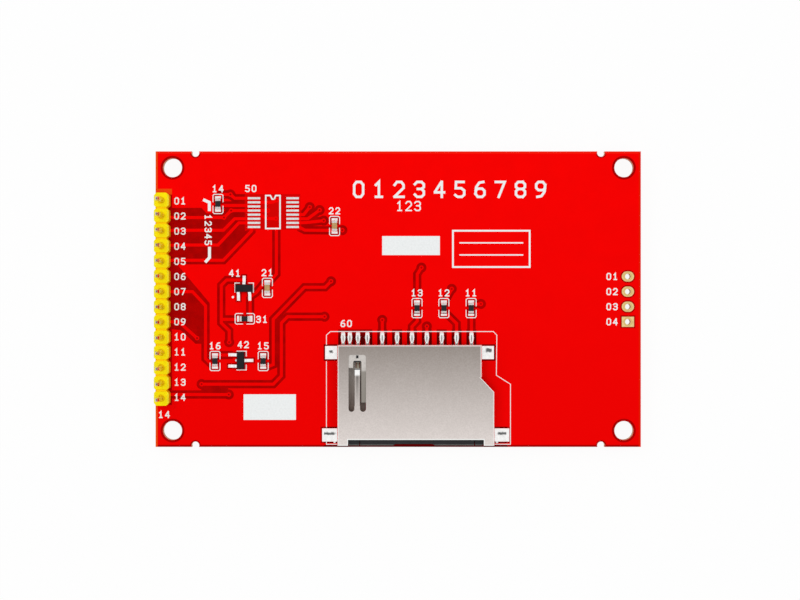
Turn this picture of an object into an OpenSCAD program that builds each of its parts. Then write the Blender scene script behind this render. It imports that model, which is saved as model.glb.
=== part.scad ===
// TFT display module: a display panel taped to a circuit board with a pin header and a memory card socket.
// It lies on the front of its display. +X runs along the board, away from the pin header, and +Z points
// up through the board to its component side. The origin is under the middle of the board, at the
// display's front face.

/* [Circuit board] */
// Length of the board
board_l = 81.6; // [80:0.1:90]
// Width of the board
board_w = 49.7; // [49:0.1:56]
// Thickness of the board
board_t = 1.6; // [1.0:0.1:2.0]
// Diameter of the corner holes
corner_hole_d = 3.2; // [2.6:0.1:3.6]
// Distance from the board's end to the middle of a corner hole
corner_hole_x = 2.85; // [2.4:0.05:3.2]
// Distance from the board's side to the middle of a corner hole
corner_hole_y = 2.75; // [2.4:0.05:3.2]
// Diameter of the half-round notches in the long edges
edge_notch_d = 1.3; // [0.8:0.1:1.5]
// How far the middle of a notch lies inside the edge
edge_notch_in = 0.25; // [0:0.05:0.4]
// Distance of the notches from the middle of the board
edge_notch_x = 34.1; // [32:0.1:35]

/* [Pin header] */
// Number of header pins
header_pins = 14; // [10:1:14]
// Pitch of the pins and of the spare pads
pin_pitch = 2.54; // [2.5:0.01:2.54]
// Distance from the board's end to the line of the pins
pin_line_in = 1.25; // [1.2:0.05:1.8]
// Width of the plastic strip
strip_w = 2.5; // [2.3:0.05:2.6]
// Height of the plastic strip
strip_h = 2.54; // [2:0.02:3]
// Size of the chamfers that divide the strip
strip_chamfer = 0.45; // [0.3:0.05:0.6]
// Thickness of a square pin
pin_t = 0.64; // [0.56:0.02:0.68]
// Length of a pin above the strip
pin_above = 6.0; // [4:0.1:9]
// Length of a pin below the board
pin_below = 1.4; // [1.1:0.1:2]
// Diameter of the plated holes for pins
pin_hole_d = 1.0; // [1:0.02:1.1]
// Height of the solder round a pin
pin_solder_h = 0.9; // [0.5:0.1:1]

/* [Spare pads] */
// Number of spare pads
spare_count = 4; // [2:1:6]
// Distance from the board's end to the middle of the spare pads
spare_in = 2.18; // [1.6:0.02:2.6]
// Length of a spare pad
spare_pad_l = 2.05; // [1.8:0.05:2.4]
// Width of a spare pad
spare_pad_w = 1.7; // [1.5:0.05:2]

/* [Card socket] */
// Width of the socket's shell at its mouth
socket_w = 26.25; // [25.8:0.05:28]
// Depth of the shell from its legs to its back
socket_l = 16.8; // [16:0.05:19]
// Height of the shell above the board
socket_h = 2.85; // [2.8:0.05:3.2]
// Thickness of the shell's sheet
sheet_t = 0.2; // [0.15:0.01:0.25]
// How much narrower the shell is behind its step
step_in = 2.1; // [1.6:0.05:2.4]
// Distance from the shell's back to the step
step_back = 5.4; // [5.1:0.1:6]
// Length of the slanted part of the step
step_slant = 2.5; // [2:0.1:3]
// Outer radius of the shell's bends
bend_r = 0.4; // [0.3:0.05:0.5]
// How far the shell's roof is cut back between its legs
mouth_cut = 0.96; // [0.6:0.02:1.4]
// Width of a front leg
leg_w = 1.8; // [1.4:0.1:2]
// Width of the card space
card_w = 24.2; // [24:0.1:24.3]
// Height of the card space
card_h = 2.2; // [2.15:0.05:2.3]
// Corner that is cut off the card
card_corner = 4.0; // [3.8:0.1:4.2]
// Distance from the middle of the board to the middle of the socket
socket_x = 2.95; // [0:0.05:4]
// Distance from the board's edge to the shell's legs
socket_edge = 0.42; // [0.4:0.02:1]
// Width of a foot, along the shell's side
foot_w = 1.6; // [1.4:0.1:2]
// Length of a back foot, away from the shell's side
back_foot_l = 1.8; // [1.4:0.1:2.2]
// Length of a front foot, away from the shell's side
front_foot_l = 2.3; // [1.8:0.1:2.8]
// Width of a card contact
contact_w = 0.5; // [0.4:0.05:0.7]
// Thickness of the contacts' strip
contact_t = 0.15; // [0.1:0.01:0.18]
// Pitch of the card contacts
contact_pitch = 2.5; // [2.4:0.02:2.5]
// Distance from the shell's left side to the first of the evenly spaced contacts
contact_left = 4.99; // [4.6:0.01:5]
// Length of a contact's tail outside the shell
tail_l = 1.9; // [1.4:0.1:2.2]

/* [Shell window] */
// Width of the window in the shell's roof
window_w = 2.9; // [2.6:0.05:3.2]
// Length of the window's head
window_head = 2.2; // [1.8:0.1:2.4]
// Length of the slots beside the tongue
window_slot = 7.3; // [6:0.1:8]
// Width of the spring tongue at its tip
tongue_w = 0.85; // [0.7:0.05:1]
// How far the tongue's tip dips under the roof
tongue_dip = 0.5; // [0.3:0.05:0.6]
// Distance from the shell's back to the window
window_back = 1.65; // [1.5:0.05:2]
// Distance from the shell's left side to the middle of the window
window_left = 3.35; // [3.1:0.05:3.6]

/* [Small parts] */
// Length of a chip resistor or capacitor
chip_l = 1.6; // [1.5:0.05:1.7]
// Width of a chip resistor or capacitor
chip_w = 0.85; // [0.75:0.05:0.95]
// Height of a chip resistor
resistor_h = 0.45; // [0.4:0.05:0.55]
// Height of a chip capacitor
capacitor_h = 0.8; // [0.6:0.05:0.9]
// Length of a moulded three-lead body
moulded_l = 2.9; // [2.8:0.05:3]
// Width of a moulded three-lead body
moulded_w = 1.3; // [1.2:0.05:1.4]
// Height of a moulded body above the board
moulded_h = 1.1; // [0.9:0.05:1.2]
// Width of a lead
lead_w = 0.5; // [0.4:0.02:0.56]

/* [Display] */
// Distance from the board's end to the display panel
panel_end_in = 6.2; // [5.8:0.1:7]
// Distance from the board's side to the display panel
panel_side_in = 1.05; // [1:0.05:1.6]
// How far the active area lies inside the panel's ends, apart from the driver's ledge
active_end_in = 3.4; // [3.2:0.1:4]
// How far the active area lies inside the panel's sides
active_side_in = 2.2; // [2:0.1:2.6]
// Thickness of one glass plate
glass_t = 0.5; // [0.3:0.05:0.7]
// Thickness of a polariser
polariser_t = 0.15; // [0.1:0.01:0.2]
// Thickness of a prism or diffuser sheet
film_t = 0.1; // [0.06:0.01:0.15]
// Thickness of the light guide
guide_t = 0.55; // [0.4:0.05:0.8]
// Thickness of the steel back tray
tray_t = 0.2; // [0.15:0.01:0.3]
// Thickness of the foam tape under the board
foam_t = 0.6; // [0.5:0.05:1]
// Width of the array glass that carries the driver chip
driver_ledge = 4.8; // [4.6:0.1:5.2]
// Length of the driver chip
driver_chip_l = 17; // [15:0.5:19]
// Width of the driver chip
driver_chip_w = 1.3; // [1:0.1:1.6]
// Thickness of the driver chip
driver_chip_t = 0.3; // [0.2:0.05:0.4]
// Width of the display's flex where it leaves the glass
flex_w = 26; // [20:0.5:27]
// Number of soldered lines of the flex
flex_lines = 18; // [10:1:20]

/* [Hidden] */
$fn = 48;

// cut is the overrun of a cutting tool, and fit the play between pieces that drop into each other
cut = 1;
fit = 0.1;

// Heights of the layers, from the display's front upwards
shade_t = 0.05;
flex_t = 0.1;
pad_t = 0.05;
filter_z = polariser_t;
array_z = filter_z + glass_t;
rear_polariser_z = array_z + glass_t;
shade_z = rear_polariser_z + polariser_t;
ledge_z = shade_z + shade_t;
guide_z = ledge_z + 3 * film_t;
reflector_z = guide_z + guide_t;
tray_z = reflector_z + flex_t;
foam_z = tray_z + tray_t;
board_z = foam_z + foam_t;
top_z = board_z + board_t;
copper_t = 0.04;
core_top_z = top_z - copper_t;

// Plan of the display, which keeps its distances from the board's ends and sides
panel_l = board_l - 2 * panel_end_in;
panel_w = board_w - 2 * panel_side_in;
active_l = panel_l - driver_ledge - 2 * active_end_in;
active_w = panel_w - 2 * active_side_in;
frame_l = panel_l - 2 * tray_t;
frame_w = panel_w - 2 * tray_t;
frame_end = 1.0;
frame_side = 0.7;
frame_front = 0.1;
ledge_w = 0.8;
led_room = 3.5;
led_clear = 0.4;
pocket_l = frame_l - 2 * frame_end;
pocket_w = frame_w - 2 * frame_side;
array_l = pocket_l - 4 * fit;
array_w = pocket_w - 4 * fit;
filter_l = array_l - driver_ledge;
active_x = driver_ledge / 2;
film_x0 = -pocket_l / 2 + led_room;
film_x1 = pocket_l / 2 - ledge_w;
film_w = pocket_w - 2 * ledge_w;
led_pocket_x = -pocket_l / 2 + led_clear;
led_pocket_w = 35;
led_l = 3.8;
led_depth = 1.0;
led_count = 4;
led_pitch = 9;
tail_strip_w = 4;
tray_lip = 1.3;
tray_corner = 1.2;
tray_bend = 0.1;
snap_w = 3;
snap_h = 0.5;
snap_pitch = 22;

// The flex folds round the display's end and runs back under the board
flex_z = array_z - flex_t;
flex_run_z = board_z - pad_t - flex_t;
fold_r = (flex_run_z - flex_z) / 2;
fold_out = 0.4;
fold_x = -panel_l / 2 - fold_out;
fold_z = flex_z + flex_t / 2 + fold_r;
bond_l = 1.0;
flex_straight_l = 8;
flex_taper_l = 4;
flex_back_l = 19.6;
flex_pitch = 0.8;
flex_pad_l = 2;
flex_neck_x = fold_x + flex_straight_l;
flex_end_x = fold_x + flex_back_l;
flex_tail_w = (flex_lines + 1) * flex_pitch;

// Places on the board
strip_x = -board_l / 2 + pin_line_in;
strip_clear = 0.25;
strip_free = 0.78;
strip_l = header_pins * pin_pitch;
spare_x = board_l / 2 - spare_in;
plating_t = 0.03;
back_pad_w = 0.35;
pin_solder_r = 0.9;
pin_pad_r = 0.85;
pin_dimple_d = 1.2;
pin_dimple = 0.3;
strip_bevel = 0.25;
neck_groove_w = 0.36;
neck_groove = 0.3;

// The socket's own frame: x from the middle of its mouth, y from its back towards its mouth, negative
socket_back_y = -board_w / 2 + socket_edge + socket_l;
shell_left = -socket_w / 2;
shell_right = socket_w / 2;
shell_step = shell_right - step_in;
slant_angle = atan2(step_in, step_slant);
roof_z = socket_h - sheet_t;
base_gap = 0.05;
base_in = sheet_t + base_gap;
floor_t = 0.35;
card_back = 2.9;
base_top = floor_t + card_h;
window_x = shell_left + window_left;
window_head_y = -window_back - window_head;
slot_w = 0.98;
pocket_reach = 2;
spring_leg_l = 5.8;
spring_leg_dip = 0.65;
spring_prong = 0.85;
tongue_root = window_back + window_head + window_slot;
tail_window_z = 0.6;
slant_in = 0.3;
slant_end_in = 0.06;
lip_out = 0.27;
base_sill = 0.1;
front_chamfer = 0.15;
mouth_slits = [3.7, 23];
mouth_slit_w = 0.16;
mouth_slit_l = 0.9;
mouth_notch = [9.2, 16.4];
mouth_notch_in = 0.26;
mouth_notch_slant = 0.5;
tail_z = contact_t / 2;
contact_z = 0.35;
contact_reach = 11;
spring_z = base_top - contact_t;
contact_first_x = shell_left + contact_left;
contact_count = 8;
side_contact_step = 1.58;
switch_spring_step = 1.36;
switch_contact_step = 1.13;
contact_side_x = contact_first_x - side_contact_step;
switch_spring_x = contact_side_x - switch_spring_step;
switch_contact_x = switch_spring_x - switch_contact_step;
contact_x = concat([contact_side_x], [for (i = [0:contact_count - 1]) contact_first_x + i * contact_pitch]);
foot_back_y = -1.35;
foot_front_y = -15.2;
// side of the shell, place along it, length
feet = [[-1, shell_left, foot_back_y, back_foot_l], [-1, shell_left, foot_front_y, front_foot_l],
        [1, shell_step, foot_back_y, back_foot_l], [1, shell_right, foot_front_y, front_foot_l]];

// Small parts: x, y of the middle, and the turn of the part. One group keeps its distance from the
// board's end at the header, and the other from the socket's back
end_at = [-board_l / 2, 0];
socket_at = [socket_x, socket_back_y];
function places(points, at) = [for (p = points) p + concat(at, 0)];
resistors = concat(places([[9.31, 6.13, 90], [4.73, 6.13, 90], [0.21, 6.13, 90]], socket_at),
                   places([[10.5, 16, 90], [18.1, -10.4, 90], [10, -10.4, 90]], end_at));
capacitors = places([[18.8, 1.9, 90], [30.1, 12.3, 90]], end_at);
link_at = places([[15, -3.3, 0]], end_at)[0];
regulator_at = places([[14.9, 1.84, 0]], end_at)[0];
transistor_at = places([[14.34, -10.3, 270]], end_at)[0];
chip_places = concat(resistors, capacitors, [link_at]);
moulded_places = [regulator_at, transistor_at];
cap_l = 0.3;
cap_over = 0.02;
toe_l = 0.5;
toe_h = 0.08;
lead_t = 0.15;
lead_z = 0.5;
lead_reach = 0.65;
lead_rise = 0.4;
lead_end = moulded_w / 2 + lead_rise + lead_reach;
lead_toe_l = 0.4;
lead_pitch = 0.95;

// The empty footprint: two columns of pads, measured from the board's end
touch_rows = 8;
touch_pitch = 0.69;
touch_pad_l = 2.1;
touch_pad_w = 0.36;
touch_x = [16.55, 23.04];
touch_y = 14.55;

// The top copper: lines with a gap on each side, vias with a clear ring, and areas without copper.
// As with the small parts, one group is measured from the board's end and one from the socket's back
pour_in = 0.35;
line_w = 0.52;
line_gap = 0.44;
via_r = 0.38;
via_clear_r = 0.85;
via_hole_r = 0.16;
pad_clear = 0.22;
hole_clear = 0.4;
notch_clear = 0.24;
touch_left_x = touch_x[0] - touch_pad_l / 2;
touch_inner_x = touch_x[0] + touch_pad_l / 2;
touch_right_x = touch_x[1] + touch_pad_l / 2;
chip_end = chip_l / 2;
function row_y(i) = touch_y + ((touch_rows + 1) / 2 - i) * touch_pitch;
tail_mid = tail_l / 3;
socket_bare_area = [for (p = [[switch_contact_x - 0.45, tail_l + 0.3], [contact_first_x + 0.7, tail_l + 0.3],
                              [contact_first_x + 0.7, 0], [switch_contact_x - 0.45, 0]]) p + socket_at];
end_lines = [
    [[10.5, 16.8], [11, 17.6], [12.58, 17.6], [13.3, row_y(1)], [touch_left_x, row_y(1)]],
    [[10.5, 15.75], [touch_left_x, 15.75]],
    [[pin_line_in, pin_y(2)], [3, 13.72], [11.51, 13.72], [12.7, row_y(4)], [touch_left_x, row_y(4)]],
    [[pin_line_in, pin_y(3)], [3, 11.58], [11.4, 11.58], [13.3, row_y(6)], [touch_left_x, row_y(6)]],
    [[pin_line_in, pin_y(4)], [3, 9.1], [10.5, 9.1], [14, row_y(7)], [touch_left_x, row_y(7)]],
    [[pin_line_in, pin_y(5)], [3, 6.54], [11.4, 6.54], [16.13, 11.48], [16.13, row_y(8)]],
    [[touch_inner_x, row_y(2)], [19.6, row_y(2)], [20.4, 16.63]],
    [[touch_inner_x, row_y(4)], [18.89, row_y(4)]],
    [[touch_inner_x, row_y(5)], [18.7, 13.54], [20.23, 13.54]],
    [[touch_right_x, row_y(5)], [24.9, row_y(5)], [25.92, 15.47]],
    [[touch_right_x, row_y(6)], [25.6, row_y(6)], [27.58, 14.97]],
    [[touch_right_x, row_y(7)], [25.6, 12.9], [28.27, 13.2]],
    [[touch_right_x, row_y(8)], [25.1, 11.6], [30.1, 11.55]],
    [[20.31, row_y(8)], [20.31, 4.2], [19.2, 3]],
    [[pin_line_in, pin_y(7)], [6.2, pin_y(7)], [8.4, -1.1], [8.4, -10], [9.8, -11.3]],
    [[pin_line_in, pin_y(9)], [3.9, pin_y(9)], [6.98, -6.56]],
    [[14.9, 3.22], [11.95, 3.22], [11.05, 2.32], [11.05, -4], [12.38, -5.3], [12.38, -7.24]],
    [[11.05, -3.4], [13.9, -3.4]],
    [[15.9, 0.4], [15.9, -3]],
    [[15.9, 0.4], [16.9, 1.1], [18.4, 2.9]],
    [[29.5, 3], [28.5, 2], [25.03, 2], [19.78, -3.4], [19.78, -11], [18.8, -11.4]],
    [[28.41, -2.95], [22.2, -2.95], [21.15, -4], [21.15, -12.9], [19.8, -14.3], [7.74, -14.3]],
    [[pin_line_in, pin_y(header_pins)], [2.4, -16.04], [12.31, -16.04]],
    [[10.2, -9.4], [13, -9.4]]];
socket_lines = [
    [[0.25, 5.03], [0.25, 3.93], [contact_x[4], 3.03], [contact_x[4], tail_mid]],
    [[contact_x[5], 3.05], [contact_x[5], tail_mid]],
    [[5.25, 5.13], [contact_x[7], 3.53], [contact_x[7], tail_mid]],
    [[contact_x[8], 5.03], [contact_x[8], tail_mid]],
    [[10.95, 6.82], [9.35, 6.82]],
    [[6.05, 9.35], [4.95, 7.23]],
    [[0.25, 7.23], [0.25, 11.83], [0.95, 12.93]],
    [[contact_x[2], tail_mid], [contact_x[2], 4.13]]];
signal_lines = concat([for (path = end_lines) [for (p = path) p + end_at]],
                      [for (path = socket_lines) [for (p = path) p + socket_at]]);
end_vias = [
    [12.58, 17.6], [11.51, 13.72], [12.7, row_y(4)], [20.4, 16.63], [18.89, row_y(4)], [20.23, 13.54],
    [25.92, 15.47], [27.58, 14.97], [28.27, 13.2], [31.4, 11.6], [6.98, -6.56], [12.38, -7.24],
    [29.5, 3], [28.41, -2.95], [7.74, -14.3], [12.31, -16.04]];
socket_vias = [[contact_x[5], 3.05], [10.95, 6.82], [6.05, 9.35], [0.95, 12.93], [contact_x[2], 4.13]];
vias = concat([for (p = end_vias) p + end_at], [for (p = socket_vias) p + socket_at]);
end_bare_areas = [
    [[2.3, 15.35], [7.7, 15.35], [8.6, 14.42], [11.2, 14.42], [12.2, 15.5], [15.1, 15.5],
     [15.1, 11.5], [16.63, 11], [11.9, 6.05], [2.3, 6.05]],
    [[2.3, 6.1], [3.4, 6.1], [9.08, -0.64], [8.4, -7.5], [6.7, -7.5], [4.2, -5.2],
     [2.3, -5]],
    [[15.06, 17.65], [24.33, 17.65], [24.33, 11.7], [15.06, 11.7]],
    [[8, -14.5], [12.2, -14.5], [12.2, -15.9], [7.4, -15.9]]];
bare_areas = concat([for (area = end_bare_areas) [for (p = area) p + end_at]],
                    [socket_bare_area]);

// A closed outline of even thickness along a path of points
function unit(v) = v / norm(v);
function side_step(p, i, t) =
    let (before = unit(p[max(i, 1)] - p[max(i, 1) - 1]),
         after = unit(p[min(i + 1, len(p) - 1)] - p[min(i, len(p) - 2)]),
         middle = unit(before + after))
    [-middle.y, middle.x] * t / (2 * (middle * before));
function ribbon(p, t) = concat(
    [for (i = [0:len(p) - 1]) p[i] + side_step(p, i, t)],
    [for (i = [len(p) - 1:-1:0]) p[i] - side_step(p, i, t)]);

// A strip bent along a path in the y-z plane, w wide
module bent_strip(path, w, t) {
    translate([-w / 2, 0, 0])
        rotate([90, 0, 90])
            linear_extrude(height = w)
                polygon(ribbon(path, t));
}

// A block given by its lowest and highest corners
module block(low, high) {
    translate(low)
        cube(high - low);
}

// A plate centred on x, y, with its underside at z
module plate(x, z, size) {
    translate([x - size.x / 2, -size.y / 2, z])
        cube(size);
}

// ---- Display ----

module front_polariser() {
    margin = 0.7;
    color("#2b2b33") plate(active_x, 0, [active_l + 2 * margin, active_w + 2 * margin, polariser_t]);
}

module filter_glass() {
    color("#5d6a72") plate(active_x, filter_z, [filter_l, array_w, glass_t]);
}

module array_glass() {
    color("#6f7d84") plate(0, array_z, [array_l, array_w, glass_t]);
}

module rear_polariser() {
    margin = 1.0;
    color("#33333b")
        plate(active_x, rear_polariser_z, [active_l + 2 * margin, active_w + 2 * margin, polariser_t]);
}

// The black tape round the active area, between the glass and the frame's ledge
module shade_tape() {
    border = 0.5;
    color("#151515") difference() {
        plate(0, shade_z, [pocket_l - 2 * fit, pocket_w - 2 * fit, shade_t]);
        plate(active_x, shade_z - cut, [active_l + 2 * border, active_w + 2 * border, shade_t + 2 * cut]);
    }
}

// A sheet that fills the frame's window, as the films, the light guide and the reflector do
module window_sheet(z, t) {
    block([film_x0 + fit, -film_w / 2 + fit, z], [film_x1 - fit, film_w / 2 - fit, z + t]);
}

module prism_sheet_front() {
    color("#e9edf0") window_sheet(ledge_z, film_t);
}

module prism_sheet_back() {
    color("#dfe5ea") window_sheet(ledge_z + film_t, film_t);
}

module diffuser_sheet() {
    color("#f4f4f0") window_sheet(ledge_z + 2 * film_t, film_t);
}

module light_guide() {
    color("#cfe0e6") window_sheet(guide_z, guide_t);
}

module reflector_sheet() {
    color("#fbfbfb") window_sheet(reflector_z, flex_t);
}

module backlight_leds() {
    color("#f2e27a")
        for (i = [0:led_count - 1])
            translate([film_x0 - led_depth, (i - (led_count - 1) / 2) * led_pitch - led_l / 2, guide_z])
                cube([led_depth, led_l, guide_t]);
}

// The strip that the LEDs sit on. Its tail leaves the tray and turns up to the display's flex
module led_strip() {
    tail_x = fold_x + flex_t;
    color("#c98a2e") union() {
        block([led_pocket_x + fit, -led_pocket_w / 2 + fit, reflector_z],
              [film_x0, led_pocket_w / 2 - fit, reflector_z + flex_t]);
        block([tail_x, -tail_strip_w / 2, reflector_z],
              [led_pocket_x + 2 * fit, tail_strip_w / 2, reflector_z + flex_t]);
        block([tail_x, -tail_strip_w / 2, reflector_z], [tail_x + flex_t, tail_strip_w / 2, flex_run_z]);
    }
}

// The white moulded frame that holds the glass in front and the light guide behind
module backlight_frame() {
    deep = tray_z + cut;
    color("#f1f1ee") difference() {
        union() {
            intersection() {
                fold_along_x(frame_l)
                    folded(frame_w, frame_front, tray_z, tray_bend);
                fold_along_y(frame_w)
                    folded(frame_l, frame_front, tray_z, tray_bend);
            }
            snap_nubs();
        }
        plate(0, -cut, [pocket_l, pocket_w, ledge_z + cut]);
        block([film_x0, -film_w / 2, 0], [film_x1, film_w / 2, deep]);
        block([led_pocket_x, -led_pocket_w / 2, guide_z], [film_x0 + cut, led_pocket_w / 2, deep]);
        // ways out for the flex and for the LED strip's tail
        block([-frame_l, -flex_w / 2 - 2 * fit, -cut],
              [-pocket_l / 2 + cut, flex_w / 2 + 2 * fit, array_z + fit]);
        block([-frame_l, -tail_strip_w / 2 - fit, reflector_z - fit],
              [led_pocket_x + cut, tail_strip_w / 2 + fit, deep]);
    }
}

// Places of the snap windows along the tray's long walls
module at_snaps() {
    for (i = [-1:1], side = [-1, 1])
        translate([i * snap_pitch, side * frame_w / 2, (tray_lip + tray_z) / 2])
            children();
}

module snap_nubs() {
    at_snaps()
        cube([snap_w - 2 * fit, 2 * (tray_t - base_gap), snap_h - 2 * base_gap], center = true);
}

// An outline across the display, filled from low to top, with rounded top corners
module folded(w, low, top, r) {
    translate([-w / 2, low])
        square([w, top - r - low]);
    translate([-w / 2 + r, low])
        square([w - 2 * r, top - low]);
    for (side = [-1, 1])
        translate([side * (w / 2 - r), top - r])
            circle(r);
}

// The outline of the folded tray across one direction: a floor with a wall at each side
module tray_outline(w) {
    difference() {
        folded(w, tray_lip, foam_z, tray_bend + tray_t);
        folded(w - 2 * tray_t, tray_lip - cut, tray_z, tray_bend);
    }
}

module fold_along_x(length) {
    rotate([90, 0, 90])
        linear_extrude(height = length, center = true)
            children();
}

module fold_along_y(length) {
    rotate([90, 0, 0])
        linear_extrude(height = length, center = true)
            children();
}

module back_tray() {
    color("#b9bcc0") difference() {
        union() {
            fold_along_x(panel_l - 2 * tray_corner)
                tray_outline(panel_w);
            fold_along_y(panel_w - 2 * tray_corner)
                tray_outline(panel_l);
        }
        at_snaps()
            cube([snap_w, 4 * tray_t, snap_h], center = true);
        block([-panel_l, -tail_strip_w / 2 - fit, tray_lip - cut],
              [-panel_l / 2 + 2 * tray_t, tail_strip_w / 2 + fit, tray_z]);
    }
}

module driver_chip() {
    color("#3a3c44")
        translate([-array_l / 2 + driver_ledge / 2 - driver_chip_w / 2, -driver_chip_l / 2,
                   array_z - driver_chip_t])
            cube([driver_chip_w, driver_chip_l, driver_chip_t]);
}

// The flex: bonded to the glass, folded round the end, run back to its pads and narrowed to them
module display_flex() {
    bond_x = -array_l / 2 + bond_l;
    color("#c77f22") union() {
        translate([0, flex_w / 2, 0])
            rotate([90, 0, 0])
                linear_extrude(height = flex_w) {
                    translate([fold_x, flex_z])
                        square([bond_x - fold_x, flex_t]);
                    translate([fold_x, flex_run_z])
                        square([flex_neck_x - fold_x, flex_t]);
                    intersection() {
                        translate([fold_x, fold_z])
                            difference() {
                                circle(fold_r + flex_t / 2);
                                circle(fold_r - flex_t / 2);
                            }
                        translate([fold_x - 2 * fold_r, flex_z - cut])
                            square([2 * fold_r, 2 * fold_r + flex_t + 2 * cut]);
                    }
                }
        translate([0, 0, flex_run_z])
            linear_extrude(height = flex_t)
                polygon([[flex_neck_x, -flex_w / 2], [flex_neck_x + flex_taper_l, -flex_tail_w / 2],
                         [flex_end_x, -flex_tail_w / 2], [flex_end_x, flex_tail_w / 2],
                         [flex_neck_x + flex_taper_l, flex_tail_w / 2], [flex_neck_x, flex_w / 2]]);
    }
}

module flex_solder() {
    line_w = 0.45;
    color("#c9ccd0")
        for (i = [0:flex_lines - 1])
            translate([flex_end_x - flex_pad_l, (i - (flex_lines - 1) / 2) * flex_pitch - line_w / 2,
                       board_z - pad_t])
                cube([flex_pad_l, line_w, pad_t]);
}

module foam_tape() {
    from_end = 4.6;
    from_side = 2.4;
    tape_w = 6;
    tape_l = panel_l - 2 * from_end;
    color("#2a2a2a")
        for (side = [-1, 1])
            translate([-tape_l / 2, side * (panel_w / 2 - from_side - tape_w / 2) - tape_w / 2, foam_z])
                cube([tape_l, tape_w, foam_t]);
}

// ---- Board ----

module circuit_board() {
    color("#e01008") difference() {
        plate(0, board_z, [board_l, board_w, board_t - copper_t]);
        translate([0, 0, board_z - cut]) {
            for (sx = [-1, 1], sy = [-1, 1]) {
                translate([sx * (board_l / 2 - corner_hole_x), sy * (board_w / 2 - corner_hole_y), 0])
                    cylinder(d = corner_hole_d, h = board_t + 2 * cut);
                translate([sx * edge_notch_x, sy * (board_w / 2 - edge_notch_in), 0])
                    cylinder(d = edge_notch_d, h = board_t + 2 * cut);
            }
            at_pins()
                cylinder(d = pin_hole_d, h = board_t + 2 * cut);
            at_spares()
                cylinder(d = pin_hole_d, h = board_t + 2 * cut);
        }
    }
}

// The board's top copper under its mask. It fills the board apart from gaps beside the lines,
// rings round the holes and vias, and frames round the pads
module copper_layer() {
    color("#f00800")
        translate([0, 0, core_top_z])
            linear_extrude(height = copper_t)
                difference() {
                    union() {
                        difference() {
                            square([board_l - 2 * pour_in, board_w - 2 * pour_in], center = true);
                            copper_gaps();
                        }
                        copper_lines();
                    }
                    for (v = vias)
                        translate(v)
                            circle(via_hole_r);
                    at_pins()
                        circle(d = pin_hole_d);
                    at_spares()
                        circle(d = pin_hole_d);
                    touch_pad_outlines(0);
                    spare_pad_outlines(0);
                }
}

module copper_lines() {
    for (path = signal_lines)
        polygon(ribbon(path, line_w));
    for (v = vias)
        translate(v)
            circle(via_r);
    at_pins()
        circle(pin_pad_r);
    pad_islands(0);
}

module copper_gaps() {
    for (path = signal_lines)
        polygon(ribbon(path, line_w + 2 * line_gap));
    for (v = vias)
        translate(v)
            circle(via_clear_r);
    for (area = bare_areas)
        polygon(area);
    for (sx = [-1, 1], sy = [-1, 1]) {
        translate([sx * (board_l / 2 - corner_hole_x), sy * (board_w / 2 - corner_hole_y)])
            circle(corner_hole_d / 2 + hole_clear);
        translate([sx * edge_notch_x, sy * (board_w / 2 - edge_notch_in)])
            circle(edge_notch_d / 2 + notch_clear);
    }
    // under the strip, beside it and past its first pin
    translate([strip_x - board_l / 2, -strip_l / 2])
        square([board_l / 2 + strip_w / 2 + strip_clear, strip_l + strip_free]);
    pad_islands(pad_clear);
    spare_pad_outlines(pad_clear);
}

// A rectangle from its lowest to its highest corner, grown on each side
module grown(low, high, more) {
    translate(low - [more, more])
        square(high - low + 2 * [more, more]);
}

// The pads under the small parts, the socket's tails and its feet
module pad_islands(more) {
    pad_w = chip_w / 2 + 0.1;
    inner = chip_end - cap_l - 0.1;
    outer = chip_end + toe_l + 0.05;
    for (p = chip_places)
        translate([p[0], p[1]])
            rotate(p[2])
                for (turn = [0, 180])
                    rotate(turn)
                        grown([inner, -pad_w], [outer, pad_w], more);
    for (p = moulded_places)
        translate([p[0], p[1]])
            rotate(p[2])
                lead_pads(more);
    translate([socket_x, socket_back_y]) {
        for (x = concat([switch_contact_x, switch_spring_x], contact_x))
            grown([x - contact_w / 2 - 0.15, -0.5], [x + contact_w / 2 + 0.15, tail_l + 0.2],
                  more > 0 ? line_gap : 0);
        for (f = feet)
            grown([f[1] + (f[0] > 0 ? -0.3 : -f[3] - 0.35), f[2] - foot_w / 2 - 0.35],
                  [f[1] + (f[0] > 0 ? f[3] + 0.35 : 0.3), f[2] + foot_w / 2 + 0.35], more);
    }
}

module lead_pads(more) {
    near = moulded_w / 2 + 0.3;
    far = lead_end + lead_toe_l + 0.03;
    r = lead_w / 2 + 0.03;
    grown([-r, near], [r, far], more);
    for (side = [-1, 1])
        grown([side * lead_pitch - r, -far], [side * lead_pitch + r, -near], more);
}

function pin_y(i) = ((header_pins + 1) / 2 - i) * pin_pitch;

module at_pins() {
    for (i = [1:header_pins])
        translate([strip_x, pin_y(i), 0])
            children();
}

module at_spares() {
    for (i = [0:spare_count - 1])
        translate([spare_x, ((spare_count - 1) / 2 - i) * pin_pitch, 0])
            children();
}

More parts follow.
